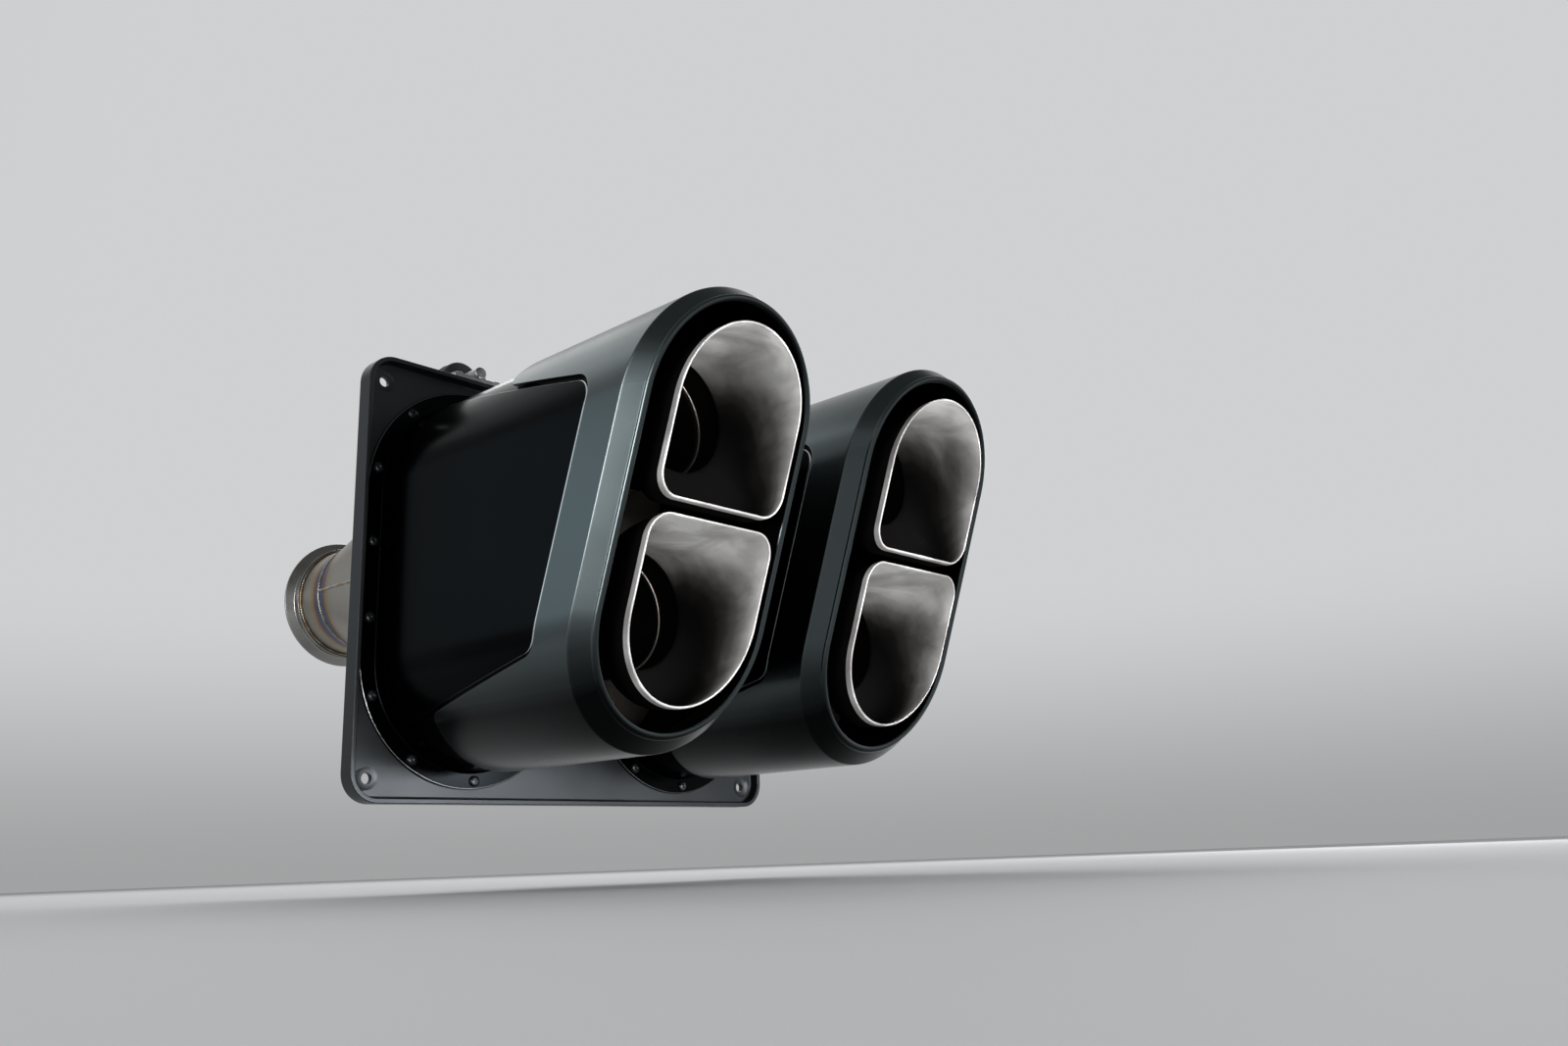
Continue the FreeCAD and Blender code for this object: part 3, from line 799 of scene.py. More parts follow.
# Behind each tip a round titanium pipe runs forward through a stainless baffle in the sleeve.
# The pipes are drawn tube, cut square and welded to the baffle, which has been dulled by heat.
tip_margin = 15.1
tip_gap = 9.5
tip_proud = 9.9
tip_depth = 68.4
pipe_radius = 47.5
pipe_wall = 1.5
pipe_offset = 2.2
pipe_rise = 17.6
pipe_inset = 23.0
pipe_end_y = -126.0
pipe_clearance = 0.2
baffle_y = -156.0
baffle_thickness = 2.0
baffle_size = (88.5, 159.8)
weld_radius = 1.7
ripple_pitch = 2.4
tint_reach = 26.0
weld_heat_most = 0.95
# This value paints a surface as dark as its finish goes: dull grey inside the pipes and collectors,
# near black in the tips' throats and sockets and on their outsides behind the band.
darkest_mark = 1.1
tip_half_width, tip_half_height = grown(mouth_size, -tip_margin)
tip_middle = (tip_half_height + tip_gap / 2) / 2
pipe_spread = 2 * (tip_middle + pipe_offset)
levels = {"upper": 1, "lower": -1}


def colour_ramp(tree, factor, stops):
    """A colour ramp through (place, hex colour) stops."""
    tint = add_node(tree, "ValToRGB", {0: factor})
    ramp = tint.color_ramp
    while len(ramp.elements) < len(stops):
        ramp.elements.new(0.5)
    for element, (position, colour) in zip(ramp.elements, stops):
        element.position = position
        element.color = hex_colour(colour)
    return tint


def drawn_tube(tree, place):
    """Drawn titanium: warm grey with fine lines along it, tinted in bands beside each weld."""
    # The draw lines are about 0.3 mm apart, so the noise is fine across and long along the pipe.
    stretch = {"Vector": place, "Scale": (3000.0, 18.0, 3000.0)}
    stretched = add_node(tree, "Mapping", stretch)
    draw_lines = {"Vector": stretched, "Scale": 1.0, "Detail": 2.0}
    lines = add_node(tree, "TexNoise", draw_lines)
    clouds = {"Vector": place, "Scale": 30.0, "Detail": 4.0}
    cloud = add_node(tree, "TexNoise", clouds)
    heat = add_node(tree, "Attribute", attribute_name="wear").outputs["Fac"]
    waver_span = {"Value": cloud, **noise_span, "To Min": -0.08, "To Max": 0.08}
    waver = add_node(tree, "MapRange", waver_span)
    reached = add_node(tree, "Math", {0: heat, 1: waver}, operation="ADD")
    # Towards a weld the bare metal turns straw, then violet, then blue, and is dull grey on it.
    tints = [(0.0, "#97928b"), (0.30, "#948d82"), (0.48, "#93825f"), (0.62, "#74575a")]
    tints += [(0.76, "#4c5673"), (0.90, "#5e7078"), (1.0, "#3c3d3d")]
    tone = colour_ramp(tree, reached, tints)
    gloss_span = {"Value": lines, **noise_span, "To Min": 0.30, "To Max": 0.44}
    gloss = add_node(tree, "MapRange", gloss_span)
    relief = {"Height": lines, "Strength": 0.15, "Distance": 0.02 * MM}
    scored = add_node(tree, "Bump", relief)
    skin = {"Base Color": tone, "Metallic": 1.0, "Roughness": gloss, "Normal": scored}
    return add_node(tree, "BsdfPrincipled", skin)


def clouded_metal(tree, place, clouds, tones, rough, skin):
    """Metal whose tone and roughness drift together in clouds."""
    cloud = add_node(tree, "TexNoise", {"Vector": place, **clouds})
    tone = colour_ramp(tree, cloud, tones)
    rough_span = {"Value": cloud, **noise_span, "To Min": rough[0], "To Max": rough[1]}
    sheen = add_node(tree, "MapRange", rough_span)
    skin = {"Base Color": tone, "Roughness": sheen, **skin}
    return add_node(tree, "BsdfPrincipled", skin)


titanium_tube = finished_material("titanium_tube_drawn", drawn_tube)
# A weld bead is bright filler metal with a straw and blue film in patches.
bead_films = [(0.30, "#8d8f92"), (0.45, "#a29c90"), (0.58, "#8c7454"), (0.72, "#586175")]
titanium_weld = finished_material(
    "titanium_weld_bead",
    lambda tree, place: clouded_metal(
        tree, place, {"Scale": 90.0, "Detail": 3.0}, bead_films, (0.22, 0.36), {"Metallic": 1.0}
    ),
)
# Cold-rolled stainless sheet after heat wears dark brown-grey scale in clouds and hardly shines.
scale_clouds = {"Scale": 22.0, "Detail": 6.0, "Distortion": 0.4}
scale_tones = [(0.28, "#23211f"), (0.46, "#2d2925"), (0.60, "#1f1c1a"), (0.78, "#131211")]
scale_skin = {"Metallic": 0.6, "Specular IOR Level": 0.2}
stainless_sheet = finished_material(
    "stainless_sheet_heat_scaled",
    lambda tree, place: clouded_metal(
        tree, place, scale_clouds, scale_tones, (0.38, 0.6), scale_skin
    ),
)


def axis_ring(x, row, radius, steps=72):
    """A circle round an upright plane's axis. row is the axis' y, z and slope there."""
    y, z, slope = row
    back, rise = -math.sin(slope), math.cos(slope)
    return [
        (x + radius * c, y + radius * s * back, z + radius * s * rise)
        for c, s in swept(0, 360, steps)[:-1]
    ]


def moved(row, distance):
    """A row of an axis moved along it."""
    y, z, slope = row
    return y + distance * math.cos(slope), z + distance * math.sin(slope), slope


def weld_heat(y, *welds):
    """The heat at this y, from that on the nearest of these welds down to none."""
    near = min(abs(y - weld) for weld in welds)
    return max(0.0, weld_heat_most - weld_heat_most * near / tint_reach)


def tube(name, x, rows, heats, radius, wall, end_heat):
    """A pipe of drawn tube along an axis, its cut ends eased, with heat given for each row."""
    ease = 0.35
    inner = radius - wall
    start, end = rows[0], rows[-1]
    profile = [(moved(start, ease), radius, heats[0])]
    profile += [(row, radius, heat) for row, heat in zip(rows[1:-1], heats[1:-1])]
    profile += [
        (moved(end, -ease), radius, heats[-1]),
        (moved(end, -0.1), radius - 0.1, heats[-1]),
        (end, radius - ease, heats[-1]),
        (end, inner + ease, heats[-1]),
        (moved(end, -ease), inner, darkest_mark),
    ]
    profile += [(row, inner, darkest_mark) for row in rows[-2:0:-1]]
    profile += [
        (moved(start, ease), inner, end_heat),
        (start, inner + ease, end_heat),
        (start, radius - ease, end_heat),
        (moved(start, 0.1), radius - 0.1, heats[0]),
    ]
    rings = [axis_ring(x, row, size) for row, size, heat in profile]
    return ring_skin(name, [rings], titanium_tube, [heat for row, size, heat in profile])


def weld_bead(name, paths, radius=weld_radius, closed=True):
    """Weld beads along paths of (point, outward) pairs in mm, rippled where each pool froze."""
    groups = []
    for path in paths:
        rings = []
        last = len(path) - 1
        for i, (point, outward) in enumerate(path):
            ahead = path[(i + 1) % len(path) if closed else min(i + 1, last)][0]
            behind = path[i - 1 if closed else max(i - 1, 0)][0]
            sideways = (ahead - behind).normalized().cross(outward)
            swell = radius * (0.80 + 0.20 * abs(math.sin(math.pi * i / 4)))
            ring = []
            for cosine, sine in swept(0, 360, 8)[:-1]:
                ring.append(point + (outward * cosine + sideways * sine) * swell)
            rings.append(ring)
        groups.append(rings)
    return ring_skin(name, groups, titanium_weld, closed=closed)


def bead_count(length):
    """How many points a bead of this length has, four to a ripple."""
    return 4 * round(length / ripple_pitch)


def bead_circle(x, y, z, radius):
    """A bead's path round a pipe."""
    path = []
    for cosine, sine in swept(0, 360, bead_count(2 * math.pi * radius))[:-1]:
        outward = Vector((cosine, 0, sine))
        path.append((Vector((x, y, z)) + outward * radius, outward))
    return path


def throat_y(flip):
    """The y of a tip's throat."""
    return mouth_y - tip_proud + tip_depth - lean * flip * tip_middle


pipe_steps = 24
baffle_faces = (baffle_y, baffle_y + baffle_thickness)
for side, x in sides.items():
    plate_profile = mirrored(eased(0, baffle_faces[1], 0.4, 1, -1), baffle_y + baffle_thickness / 2)
    baffle_loops = [(pill_loop(baffle_size, x), plate_profile)]
    joints = []
    for level, flip in levels.items():
        height = pipe_rise + flip * pipe_spread / 2
        start_y = throat_y(flip) + pipe_inset
        rows = []
        for i in range(pipe_steps + 1):
            rows.append((start_y + (pipe_end_y - start_y) * i / pipe_steps, height, 0.0))
        heats = [weld_heat(y, pipe_end_y, baffle_y) for y, z, slope in rows]
        pipe = tube(f"pipe_{level}_{side}_tube", x, rows, heats, pipe_radius, pipe_wall, 0.0)
        fit_out(pipe, "titanium_pipe", f"pipe_{level}_{side}")
        pipe_hole = through(baffle_faces[1], baffle_faces[0], 0.3)
        baffle_loops.append((round_loop(pipe_radius + pipe_clearance, x, height, 72), pipe_hole))
        for y in (*baffle_faces, pipe_end_y):
            joints.append(bead_circle(x, y, height, pipe_radius + 0.3))
    baffle = cut_plate("baffle_sheet_" + side, baffle_loops, stainless_sheet)
    fit_out(baffle, "baffle_steel", "baffle_" + side)
    fit_out(weld_bead("baffle_welds_" + side, joints), "titanium_pipe")

# The tips are four trumpets pressed from titanium sheet, from a D-shaped mouth to a round throat.
# Bead-blasted and tinted by heat, they keep a pale band round the mouth. Behind it the outside is
# painted near black, and inside, soot and painted shade darken them inwards and towards the floor
# while the roof is painted paler.
tip_corner = 18.5
tip_wall = 1.8
tip_band = 5.4
tip_step = 0.6
tip_collar = 16.0
throat_radius = 46.5
throat_edge = 1.5
socket_length = 50.0
socket_clearance = 0.25
bell_power = 1.9


def arc_run(x, z, radius, start, end, steps):
    """Points of an arc, without its last."""
    return [(x + radius * c, z + radius * s) for c, s in swept(start, end, steps)[:-1]]


def line_run(start, end, steps):
    """Points of a straight run, without its last."""
    return [tuple(a + (b - a) * i / steps for a, b in zip(start, end)) for i in range(steps)]


def d_outline(inset):
    """A tip's mouth as (x, z) points, from the flat edge's left end round to the same place."""
    width = tip_half_width - inset
    flat = tip_gap / 2 + inset
    corner = tip_corner - inset
    inner = width - corner
    crown = tip_half_height - inset - width
    return (
        line_run((-inner, flat), (inner, flat), 18)
        + arc_run(inner, flat + corner, corner, -90, 0, 12)
        + line_run((width, flat + corner), (width, crown), 8)
        + arc_run(0, crown, width, 0, 180, 48)
        + line_run((-width, crown), (-width, flat + corner), 8)
        + arc_run(-inner, flat + corner, corner, 180, 270, 12)
    )


def tip_ring(inset, depth, change, flip):
    """A trumpet's section at this depth. change runs from 0, the D mouth, to 1, the throat."""
    shift = pipe_offset + flip * pipe_rise
    radius = throat_radius + tip_wall - inset
    ring = []
    for x, z in d_outline(max(inset, 0)):
        turn = math.atan2(z - tip_middle, x)
        round_z = tip_middle + radius * math.sin(turn) + shift
        px = x + (radius * math.cos(turn) - x) * change
        pz = flip * (z + (round_z - z) * change)
        leaning = -lean * (pz * (1 - change) + flip * tip_middle * change)
        ring.append((px, mouth_y - tip_proud + depth + leaning, pz))
    return ring


def heated_titanium(tree, place):
    """Blasted titanium, nearly matt. wear runs from 0 at the rim to 1 at the throat, dark with soot
    and painted shade.
    """
    depth = add_node(tree, "Attribute", attribute_name="wear").outputs["Fac"]
    clouds = {"Vector": place, "Scale": 22.0, "Detail": 5.0, "Distortion": 0.5}
    cloud = add_node(tree, "TexNoise", clouds)
    # The grit's grain is drawn as about 0.5 mm, coarser than the real 0.1 mm, so that it shows.
    grains = {"Vector": place, "Scale": 1800.0, "Detail": 2.0}
    grit = add_node(tree, "TexNoise", grains)
    stain_span = {"Value": cloud, "From Min": 0.35, "From Max": 0.72}
    stain_span |= {"To Min": -0.10, "To Max": 0.16}
    stain = add_node(tree, "MapRange", stain_span)
    soot_and_shade = add_node(tree, "Math", {0: depth, 1: stain}, operation="ADD")
    # Heat, soot and painted shade build up inwards: clean grey at the rim, then a smoky film, then
    # black.
    soot_and_shade_tones = [(0.0, "#e6e5e3"), (0.10, "#c2c1c0"), (0.25, "#918f8e"), (0.42, "#5d5b5a")]
    soot_and_shade_tones += [(0.60, "#343231"), (0.78, "#161514"), (1.0, "#070606")]
    tone = colour_ramp(tree, soot_and_shade, soot_and_shade_tones)
    bare_span = {"Value": soot_and_shade, "From Min": 0.2, "From Max": 0.8, "To Min": 0.35, "To Max": 0.05}
    bare = add_node(tree, "MapRange", bare_span)
    rough_span = {"Value": soot_and_shade, "From Min": 0.0, "From Max": 0.9, "To Min": 0.44, "To Max": 0.70}
    rough = add_node(tree, "MapRange", rough_span)
    relief = {"Height": grit, "Strength": 0.2, "Distance": 0.03 * MM}
    pitted = add_node(tree, "Bump", relief)
    skin = {"Base Color": tone, "Metallic": bare, "Roughness": rough, "Normal": pitted}
    return add_node(tree, "BsdfPrincipled", {**skin, "Specular IOR Level": 0.06})


titanium_tip = finished_material("titanium_blasted_and_heated", heated_titanium)
rim_round = tip_wall / 2
socket_outside = throat_radius - pipe_radius - socket_clearance
socket_inside = socket_outside + tip_wall
bell_steps = 22
# The trumpet's profile, as rows of inset, depth, change and wear: forward along the outside from
# the socket to the mouth, over the rim, and back down the inside to the throat and the socket.
tip_profile = [
    (socket_outside, tip_depth + socket_length, 1, darkest_mark),
    (socket_outside, tip_depth + 0.4, 1, darkest_mark),
    (tip_step, tip_depth, 1, darkest_mark),
]
bell = []
for step in range(bell_steps + 1):
    share = step / bell_steps
    bell.append((tip_collar + (tip_depth - tip_collar) * share, share**bell_power))
for depth, change in bell[-2::-1]:
    tip_profile.append((tip_step, depth, change, darkest_mark))
tip_profile += [
    (tip_step, tip_band + 0.2, 0, darkest_mark),
    (tip_step, tip_band, 0, darkest_mark),
    (0.15, tip_band, 0, 0),
    (0, tip_band - 0.15, 0, 0),
    (0, tip_band - 0.4, 0, 0),
    (0, rim_round + 0.5, 0, 0),
]
for cosine, sine in swept(0, 180, 8):
    tip_profile.append((rim_round * (1 - cosine), rim_round * (1 - sine), 0, 0))
tip_profile.append((tip_wall, rim_round + 0.5, 0, 0.04))
tip_profile.append((tip_wall, tip_collar / 2, 0, 0.12))
for depth, change in bell:
    tip_profile.append((tip_wall, depth, change, depth / tip_depth))
tip_profile += [
    (tip_wall, tip_depth + throat_edge - 0.2, 1, darkest_mark),
    (tip_wall, tip_depth + throat_edge, 1, darkest_mark),
    (socket_inside, tip_depth + throat_edge, 1, darkest_mark),
    (socket_inside, tip_depth + socket_length, 1, darkest_mark),
]
clean_band = 0.16
# How much darker a tip's floor is painted, with soot and painted shade.
floor_soot_and_shade = 0.5
tip_height = tip_half_height - tip_gap / 2


def soot_and_painted_shade(wear, z, lowest):
    """Soot and painted shade at this height inside a tip: darkest on the floor, with the roof
    painted much paler as if lit, a painted light.
    """
    if wear == 0:
        return clean_band
    if wear > 1:
        return wear
    up = min(1.0, max(0.0, (z - lowest) / tip_height))
    floor_darkening = floor_soot_and_shade * max(0.0, 1 - up / 0.3) * min(1.0, wear / 0.1)
    return wear * (1.75 - 1.6 * up * up) + floor_darkening


for side, x in sides.items():
    for level, flip in levels.items():
        lowest = tip_gap / 2 if flip == 1 else -tip_half_height
        rings = []
        wear_values = []
        for inset, depth, change, wear in tip_profile:
            ring = tip_ring(inset, depth, change, flip)
            rings.append([(x + px, y, pz) for px, y, pz in ring])
            wear_values.append([soot_and_painted_shade(wear, pz, lowest) for px, y, pz in ring])
        trumpet = ring_skin(f"tip_trumpet_{level}_{side}", [rings], titanium_tip, wear_values)
        fit_out(trumpet, "titanium_blasted", f"tip_{level}_{side}")

# Each pair of pipes goes on as two S-bends that draw together, into a titanium collector.
# The collector is two pressed halves with a seam along each flank, on a round inlet tube.
bend_radius = 120.0
bend_start_y = -116.0
bend_end_y = 38.0
bend_steps = 16
merge_half_pitch = 48.5
merge_turn = 20.0
collector_y = 16.0
collector_taper = 128.0
collector_wall = 1.8
collector_half_width = 49.5
inlet_radius = 50.8
inlet_length = 46.0
weld_gap = 0.15
seam_radius = 1.4

for side, x in sides.items():
    for level, flip in levels.items():
        high = pipe_rise + flip * pipe_spread / 2
        low = pipe_rise + flip * merge_half_pitch
        turn = math.acos(1 - abs(high - low) / (2 * bend_radius))
        run = bend_radius * math.sin(turn)
        rows = [(pipe_end_y + weld_gap, high, 0.0)]
        for i in range(bend_steps + 1):
            angle = turn * i / bend_steps
            drop = bend_radius * (1 - math.cos(angle))
            y = bend_start_y + bend_radius * math.sin(angle)
            rows.append((y, high - flip * drop, -flip * angle))
        for i in range(1, bend_steps + 1):
            angle = turn * (1 - i / bend_steps)
            drop = bend_radius * (1 - math.cos(angle))
            y = bend_start_y + 2 * run - bend_radius * math.sin(angle)
            rows.append((y, low + flip * drop, -flip * angle))
        rows += [(collector_y - 8, low, 0.0), (collector_y, low, 0.0), (bend_end_y, low, 0.0)]
        heats = [weld_heat(y, pipe_end_y, collector_y) for y, z, slope in rows]
        bend = tube(
            f"bend_{level}_{side}_tube", x, rows, heats, pipe_radius, pipe_wall, darkest_mark
        )
        fit_out(bend, "titanium_pipe", f"bend_{level}_{side}")

# Each pair is a point of the pill round both pipes, and the point of the inlet that it runs to.
side_steps = 12
end_steps = 40
merge_pairs = []
for end in (1, -1):
    for i in range(side_steps):
        share = -1 + 2 * i / side_steps
        turn = math.radians(merge_turn * share)
        merge_pairs.append(((end, 0, end * share), (end * math.cos(turn), end * math.sin(turn))))
    for i in range(end_steps):
        turn = math.pi * i / end_steps
        round_turn = math.radians(merge_turn + (180 - 2 * merge_turn) * i / end_steps)
        pill = (end * math.cos(turn), end * math.sin(turn), end)
        merge_pairs.append((pill, (end * math.cos(round_turn), end * math.sin(round_turn))))


def merge_ring(x, y, inset, roundness):
    """A collector's section: a pill round both pipes at roundness 0, the inlet's circle at 1."""
    width = collector_half_width - inset
    radius = inlet_radius - inset
    ring = []
    for (across, rise, end), (round_x, round_z) in merge_pairs:
        px = across * width * (1 - roundness) + round_x * radius * roundness
        pill_z = rise * width + end * merge_half_pitch
        pz = pill_z * (1 - roundness) + round_z * radius * roundness
        ring.append((x + px, y, pipe_rise + pz))
    return ring


taper_end_y = bend_end_y + collector_taper
inlet_end_y = taper_end_y + inlet_length
plate_face_y = collector_y + collector_wall
taper_rows = [(plate_face_y, 0.0), (bend_end_y - 12, 0.0), (bend_end_y - 2, 0.0)]
taper_rows.append((bend_end_y, 0.004))
taper_steps = 20
for i in range(1, taper_steps):
    taper_rows.append((bend_end_y + collector_taper * i / taper_steps, i / taper_steps))
taper_rows.append((taper_end_y, 0.996))
taper_rows += [(taper_end_y + 2, 1.0), (taper_end_y + 24, 1.0), (inlet_end_y, 1.0)]


def seam_path(x, flank):
    """The weld along a collector's flank, on the line where its two halves meet."""
    path = []
    count = bead_count(taper_end_y - plate_face_y)
    for i in range(count + 1):
        y = plate_face_y + (taper_end_y - plate_face_y) * i / count
        roundness = max(0.0, (y - bend_end_y) / collector_taper)
        reach = collector_half_width + (inlet_radius - collector_half_width) * roundness
        path.append((Vector((x + flank * reach, y, pipe_rise)), Vector((flank, 0, 0))))
    return path


def outline_path(x, y, size, z):
    """A bead's path round a pill-shaped edge."""
    straight = size[1] - size[0]
    path = []
    side_count = bead_count(2 * straight)
    end_count = bead_count(math.pi * size[0])
    for end, start in ((1, 0), (-1, 180)):
        for cosine, sine in swept(start, start + 180, end_count)[:-1]:
            outward = Vector((cosine, 0, sine))
            middle = Vector((x, y, z + end * straight))
            path.append((middle + outward * size[0], outward))
        for i in range(side_count):
            down = end * (straight - 2 * straight * i / side_count)
            path.append((Vector((x - end * size[0], y, z + down)), Vector((-end, 0, 0))))
    return path


plate_size = (collector_half_width, collector_half_width + merge_half_pitch)
plate_profile = [(0.0, plate_face_y), (0.0, collector_y + 0.5)]
plate_profile += [(-0.15, collector_y + 0.15), (-0.5, collector_y)]
for side, x in sides.items():
    profile = [(y, 0.0, roundness) for y, roundness in taper_rows]
    profile += [(y, collector_wall, roundness) for y, roundness in reversed(taper_rows)]
    rings = [merge_ring(x, y, inset, roundness) for y, inset, roundness in profile]
    heats = []
    for y, inset, roundness in profile:
        heats.append(darkest_mark if inset else weld_heat(y, plate_face_y, taper_end_y))
    collector = ring_skin("collector_body_" + side, [rings], titanium_tube, heats)
    fit_out(collector, "titanium_pipe", "collector_" + side)
    end_loops = [(pill_loop(plate_size, x, pipe_rise), plate_profile)]
    joints = [outline_path(x, plate_face_y, plate_size, pipe_rise)]
    for flip in levels.values():
        height = pipe_rise + flip * merge_half_pitch
        bend_hole = through(plate_face_y, collector_y, 0.3)
        end_loops.append((round_loop(pipe_radius + pipe_clearance, x, height, 72), bend_hole))
        joints.append(bead_circle(x, collector_y, height, pipe_radius + 0.3))
    end_plate = cut_plate("collector_end_plate_" + side, end_loops, titanium_tube)
    fit_out(end_plate, "titanium_pipe")
    joints.append(bead_circle(x, taper_end_y, pipe_rise, inlet_radius))
    fit_out(weld_bead("collector_welds_" + side, joints, seam_radius), "titanium_pipe")
    seams = [seam_path(x, flank) for flank in (-1, 1)]
    seam_beads = weld_bead("collector_seams_" + side, seams, seam_radius, closed=False)
    fit_out(seam_beads, "titanium_pipe")

# The inlet flange is a ring turned from stainless bar and welded on the inlet tube.
# Its sloping edge takes the silencer pipe's clamp, and its face has a groove for the gasket.
flange_radius = 61.0
flange_edge = 4.0
flange_hub = 9.0
flange_hub_wall = 3.0
flange_clearance = 0.15
gasket_radii = (55.1, 57.3)
gasket_depth = 0.8


def turned_steel(tree, place):
    """Turned stainless: bright, with fine tool rings. wear holds the radius in mm."""
    radius = add_node(tree, "Attribute", attribute_name="wear").outputs["Fac"]
    smudges = {"Vector": place, "Scale": 40.0, "Detail": 4.0}
    smudge = add_node(tree, "TexNoise", smudges)
    # The feed of the lathe is 0.2 mm a turn. It is drawn as 0.5 mm so that the rings show.
    feed = 0.5
    turns = {0: radius, 1: 2 * math.pi / feed}
    phase = add_node(tree, "Math", turns, operation="MULTIPLY")
    rings = add_node(tree, "Math", {0: phase}, operation="SINE")
    tones = {0: smudge, 6: "#8f8e8a", 7: "#a9a8a5"}
    tone = add_node(tree, "Mix", tones, data_type="RGBA").outputs[2]
    gloss_span = {"Value": smudge, **noise_span, "To Min": 0.2, "To Max": 0.34}
    gloss = add_node(tree, "MapRange", gloss_span)
    relief = {"Height": rings, "Strength": 0.2, "Distance": 0.01 * MM}
    cut = add_node(tree, "Bump", relief)
    skin = {"Base Color": tone, "Metallic": 1.0, "Roughness": gloss, "Normal": cut}
    return add_node(tree, "BsdfPrincipled", skin)


turned_stainless = finished_material("stainless_steel_turned", turned_steel)
flange_bore = inlet_radius + flange_clearance
hub_radius = flange_bore + flange_hub_wall
slope_end = -flange_edge - flange_hub / 4
hub_end = -flange_edge - flange_hub
groove_inner, groove_outer = gasket_radii
# Each row is a radius and a distance behind the face.
flange_profile = [
    (flange_bore, -0.4),
    (flange_bore + 0.1, -0.1),
    (flange_bore + 0.4, 0.0),
    (groove_inner - 0.1, 0.0),
    (groove_inner, -0.1),
    (groove_inner, -gasket_depth + 0.1),
    (groove_inner + 0.2, -gasket_depth),
    (groove_outer - 0.2, -gasket_depth),
    (groove_outer, -gasket_depth + 0.1),
    (groove_outer, -0.1),
    (groove_outer + 0.1, 0.0),
    (flange_radius - 0.5, 0.0),
    (flange_radius - 0.15, -0.15),
    (flange_radius, -0.5),
    (flange_radius, -flange_edge / 2 + 0.3),
    (flange_radius - 0.25, -flange_edge / 2 - 0.1),
    (hub_radius + 0.6, slope_end + 0.4),
    (hub_radius + 0.1, slope_end - 0.2),
    (hub_radius, slope_end - 0.7),
    (hub_radius, hub_end + 0.4),
    (hub_radius - 0.4, hub_end),
    (flange_bore + 0.2, hub_end),
    (flange_bore, hub_end + 0.2),
]
for side, x in sides.items():
    rings = [axis_ring(x, (inlet_end_y + y, pipe_rise, 0.0), r, 96) for r, y in flange_profile]
    radii = [radius for radius, y in flange_profile]
    ring = ring_skin("inlet_ring_" + side, [rings], turned_stainless, radii)
    fit_out(ring, "flange_steel", "inlet_flange_" + side)
    joint = bead_circle(x, inlet_end_y + hub_end - 0.3, pipe_rise, inlet_radius + 0.5)
    fit_out(weld_bead("inlet_weld_" + side, [joint], 1.5), "titanium_pipe")

# A rubber block hangs from an arm on top of the carrier and carries a hook on the collector.
# The arms are zinc-plated steel rod on a screwed foot, and the hooks titanium rod, welded on.
rod_radius = 6.0
rod_clearance = 0.2
arm_height = 197.0
arm_overhang = 8.0
isolator_pitch = 38.0
isolator_half_width = 20.0
isolator_y = 14.0
isolator_thickness = 30.0
foot_size = (28.0, 7.0)
foot_y = -8.0
foot_thickness = 4.0
foot_corner = 3.0
foot_screw_place = 20.0
hook_y = 78.0
hook_bend = 14.0
crown_width = 100.0


def moulded_rubber(tree, place):
    """Moulded rubber: matt black with a faint bloom, and a fine texture from the mould."""
    blooms = {"Vector": place, "Scale": 60.0, "Detail": 5.0}
    bloom = add_node(tree, "TexNoise", blooms)
    # The mould's texture has a grain of about 0.4 mm.
    grains = {"Vector": place, "Scale": 1.0 / (0.4 * MM), "Detail": 1.0}
    grain = add_node(tree, "TexNoise", grains)
    tones = {0: bloom, 6: "#131313", 7: "#2b2b2c"}
    tone = add_node(tree, "Mix", tones, data_type="RGBA").outputs[2]
    relief = {"Height": grain, "Strength": 0.3, "Distance": 0.06 * MM}
    texture = add_node(tree, "Bump", relief)
    rough_span = {"Value": bloom, **noise_span, "To Min": 0.62, "To Max": 0.8}
    rough = add_node(tree, "MapRange", rough_span)
    skin = {"Base Color": tone, "Roughness": rough, "Normal": texture, "IOR": 1.52}
    return add_node(tree, "BsdfPrincipled", skin)


# Bright zinc plating is a bluish silver, softly mottled, with fine milky blooms.
zinc_blooms = [(0.30, "#84878a"), (0.52, "#9a9da0"), (0.66, "#a8abad"), (0.80, "#b9bbbb")]
zinc_plated_steel = finished_material(
    "steel_zinc_plated",
    lambda tree, place: clouded_metal(
        tree, place, {"Scale": 120.0, "Detail": 5.0}, zinc_blooms, (0.28, 0.5), {"Metallic": 1.0}
    ),
)
black_rubber = finished_material("rubber_moulded_black", moulded_rubber)


def rod(name, x, rows, material, collar):
    """A round rod along an axis, with eased ends. A collar near its last end, at this distance
    from it, keeps the rubber on."""
    ends = [(0.0, 0.62), (0.25, 0.85), (0.9, 0.97), (1.8, 1.0)]
    profile = [(moved(rows[0], along), share * rod_radius) for along, share in ends]
    profile += [(row, rod_radius) for row in rows[1:-1]]
    for along, rise in ((1.5, 0), (1.3, 1.2), (1, 1.6), (-1, 1.6), (-1.3, 1.2), (-1.5, 0)):
        profile.append((moved(rows[-1], -(collar + along)), rod_radius + rise))
    profile += [(moved(rows[-1], -along), share * rod_radius) for along, share in reversed(ends)]
    rings = [axis_ring(x, row, radius, 40) for row, radius in profile]
    return ring_skin(name, [rings], material, closed=False)


def collector_top(y):
    """The height of a collector's crown."""
    roundness = (y - bend_end_y) / collector_taper
    width = collector_half_width + (inlet_radius - collector_half_width) * roundness
    return pipe_rise + merge_half_pitch * (1 - roundness) + width


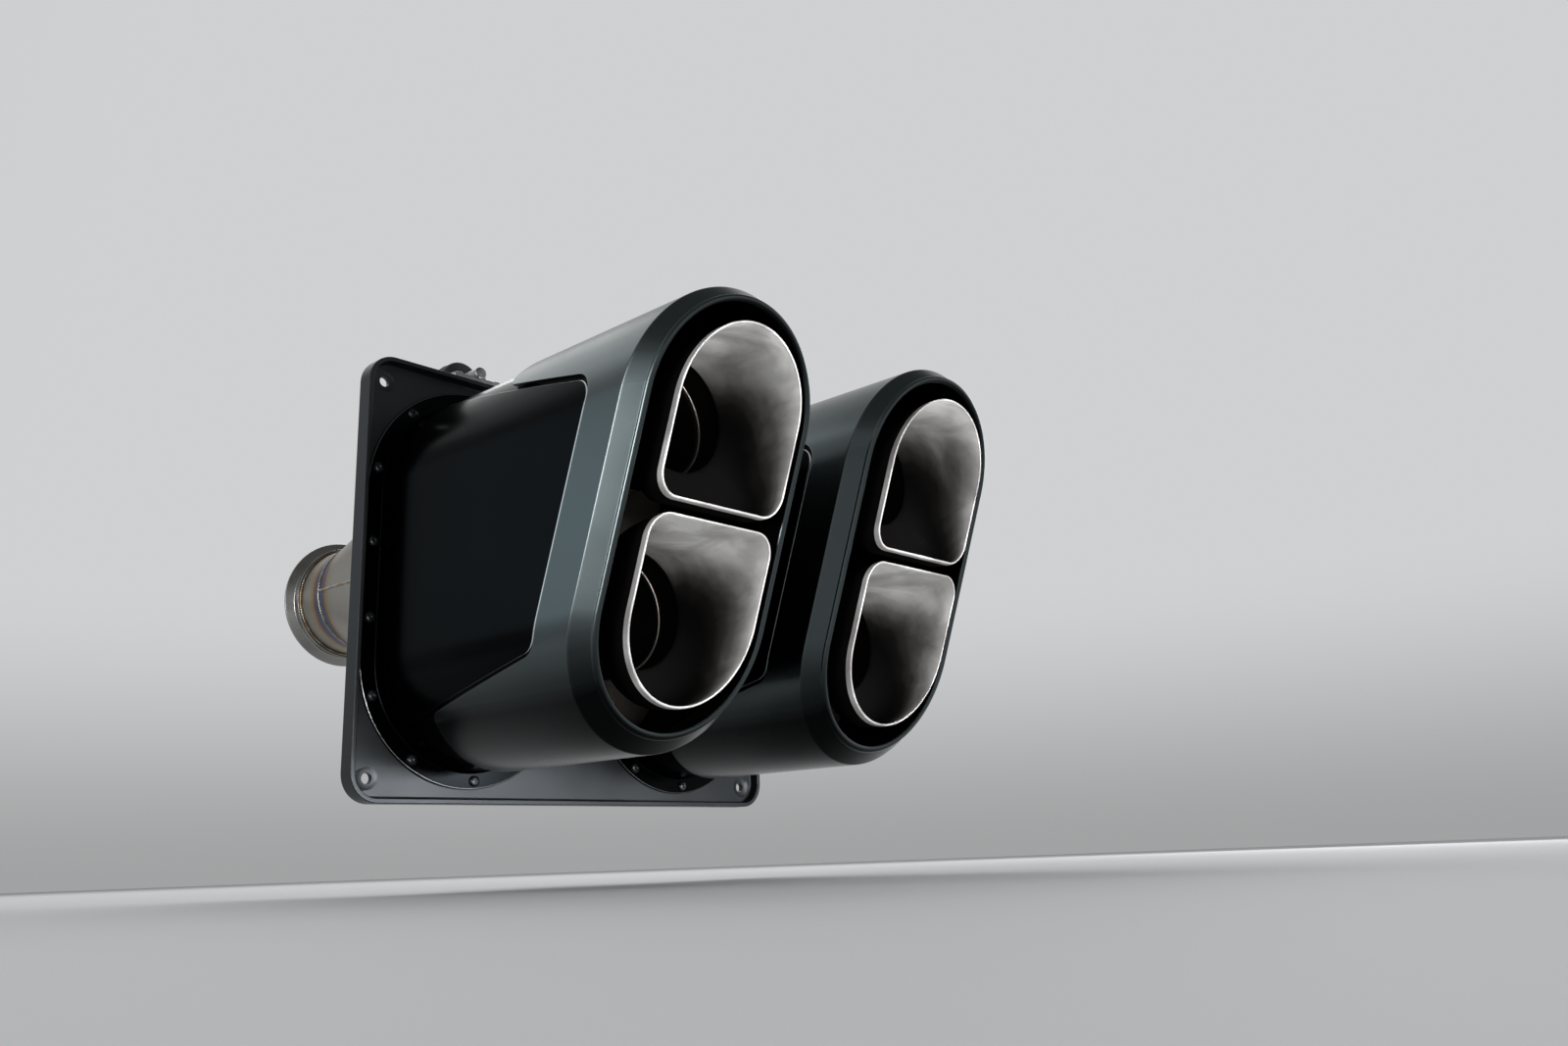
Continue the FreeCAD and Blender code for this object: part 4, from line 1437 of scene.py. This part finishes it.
foot_top = carrier_size[1] + foot_thickness
foot_profile = eased(0, foot_top, 0.8, 1, -1)
foot_profile += [(0.0, carrier_size[1] + 0.3), (-0.3, carrier_size[1])]
rod_start_y = foot_y - foot_size[1]
rod_end_y = isolator_y + isolator_thickness + arm_overhang
rod_z = arm_height - isolator_pitch
block_front_y = isolator_y + isolator_thickness
block_middle_y = isolator_y + isolator_thickness / 2
block_middle_z = arm_height - isolator_pitch / 2
block_size = (isolator_half_width, isolator_pitch / 2 + isolator_half_width)
# The block's faces lie a little below the raised rims of its two eyes, and a fine parting line
# of the mould runs round its middle.
sunk = 1.5
face_y = block_front_y - sunk
parting_line = 0.4
half_block = eased(-parting_line, face_y, 3.0, 1, -1, 6)
half_block += [(-parting_line, block_middle_y + 0.8), (0.0, block_middle_y + 0.4)]
half_eye = [
    (5.4, face_y),
    (4.9, face_y + 0.2),
    (4.3, block_front_y - 0.3),
    (3.8, block_front_y),
    (1.0, block_front_y),
    (0.3, block_front_y - 0.3),
    (0.0, block_front_y - 1.0),
]
block_profile = mirrored(half_block, block_middle_y)
eye_profile = mirrored(half_eye, block_middle_y)
arm_weld_points = 23
for side, x in sides.items():
    rings = []
    for growth, z in foot_profile:
        outline = cornered_outline(grown(foot_size, growth), foot_corner + growth, 6)
        rings.append([(x + px, foot_y + py, z) for px, py in outline])
    foot = ring_skin("arm_foot_" + side, [rings], zinc_plated_steel, closed=False)
    fit_out(foot, "arm_zinc", "hanger_arm_" + side)
    arm_rows = [(y, arm_height, 0.0) for y in (rod_start_y, 0.0, rod_end_y)]
    fit_out(rod("arm_rod_" + side, x, arm_rows, zinc_plated_steel, 5.0), "arm_zinc")
    beads = []
    for flank in (-1, 1):
        outward = Vector((flank, 0, 1)).normalized()
        line = []
        for i in range(arm_weld_points):
            line.append(Vector((x + flank * 4.6, rod_start_y + 1.5 + i * 0.5, foot_top + 0.4)))
        beads.append([(point, outward) for point in line])
    fit_out(weld_bead("arm_welds_" + side, beads, 1.5, closed=False), "arm_zinc")
    places = [(x + flank * foot_screw_place, foot_y, foot_top) for flank in (-1, 1)]
    fit_out(screw_heads("arm_screws_" + side, places, (0, 0, 1)), "arm_zinc")

    hook_rows = [(hook_y, collector_top(hook_y) - 3, math.pi / 2)]
    hook_rows.append((hook_y, rod_z - hook_bend, math.pi / 2))
    for cosine, sine in swept(0, 90, 12)[1:]:
        slope = math.atan2(cosine, -sine)
        y = hook_y - hook_bend * (1 - cosine)
        hook_rows.append((y, rod_z - hook_bend * (1 - sine), slope))
    hook_rows.append((isolator_y - arm_overhang, rod_z, math.pi))
    hook = rod("hook_rod_" + side, x, hook_rows, titanium_tube, 4.0)
    fit_out(hook, "titanium_pipe", "hook_" + side)
    path = []
    foot_radius = rod_radius + 0.6
    for cosine, sine in swept(0, 360, bead_count(2 * math.pi * foot_radius))[:-1]:
        px, py = foot_radius * cosine, foot_radius * sine
        pz = collector_top(hook_y + py) - px * px / crown_width
        path.append((Vector((x + px, hook_y + py, pz)), Vector((cosine, sine, 0.6)).normalized()))
    fit_out(weld_bead("hook_weld_" + side, [path], 1.6), "titanium_pipe")

    block_loops = [(pill_loop(block_size, x, block_middle_z, 24), block_profile)]
    for z in (arm_height, rod_z):
        block_loops.append((round_loop(rod_radius + rod_clearance, x, z, 40), eye_profile))
    block = cut_plate("isolator_block_" + side, block_loops, black_rubber)
    fit_out(block, "isolator_rubber", "isolator_" + side)
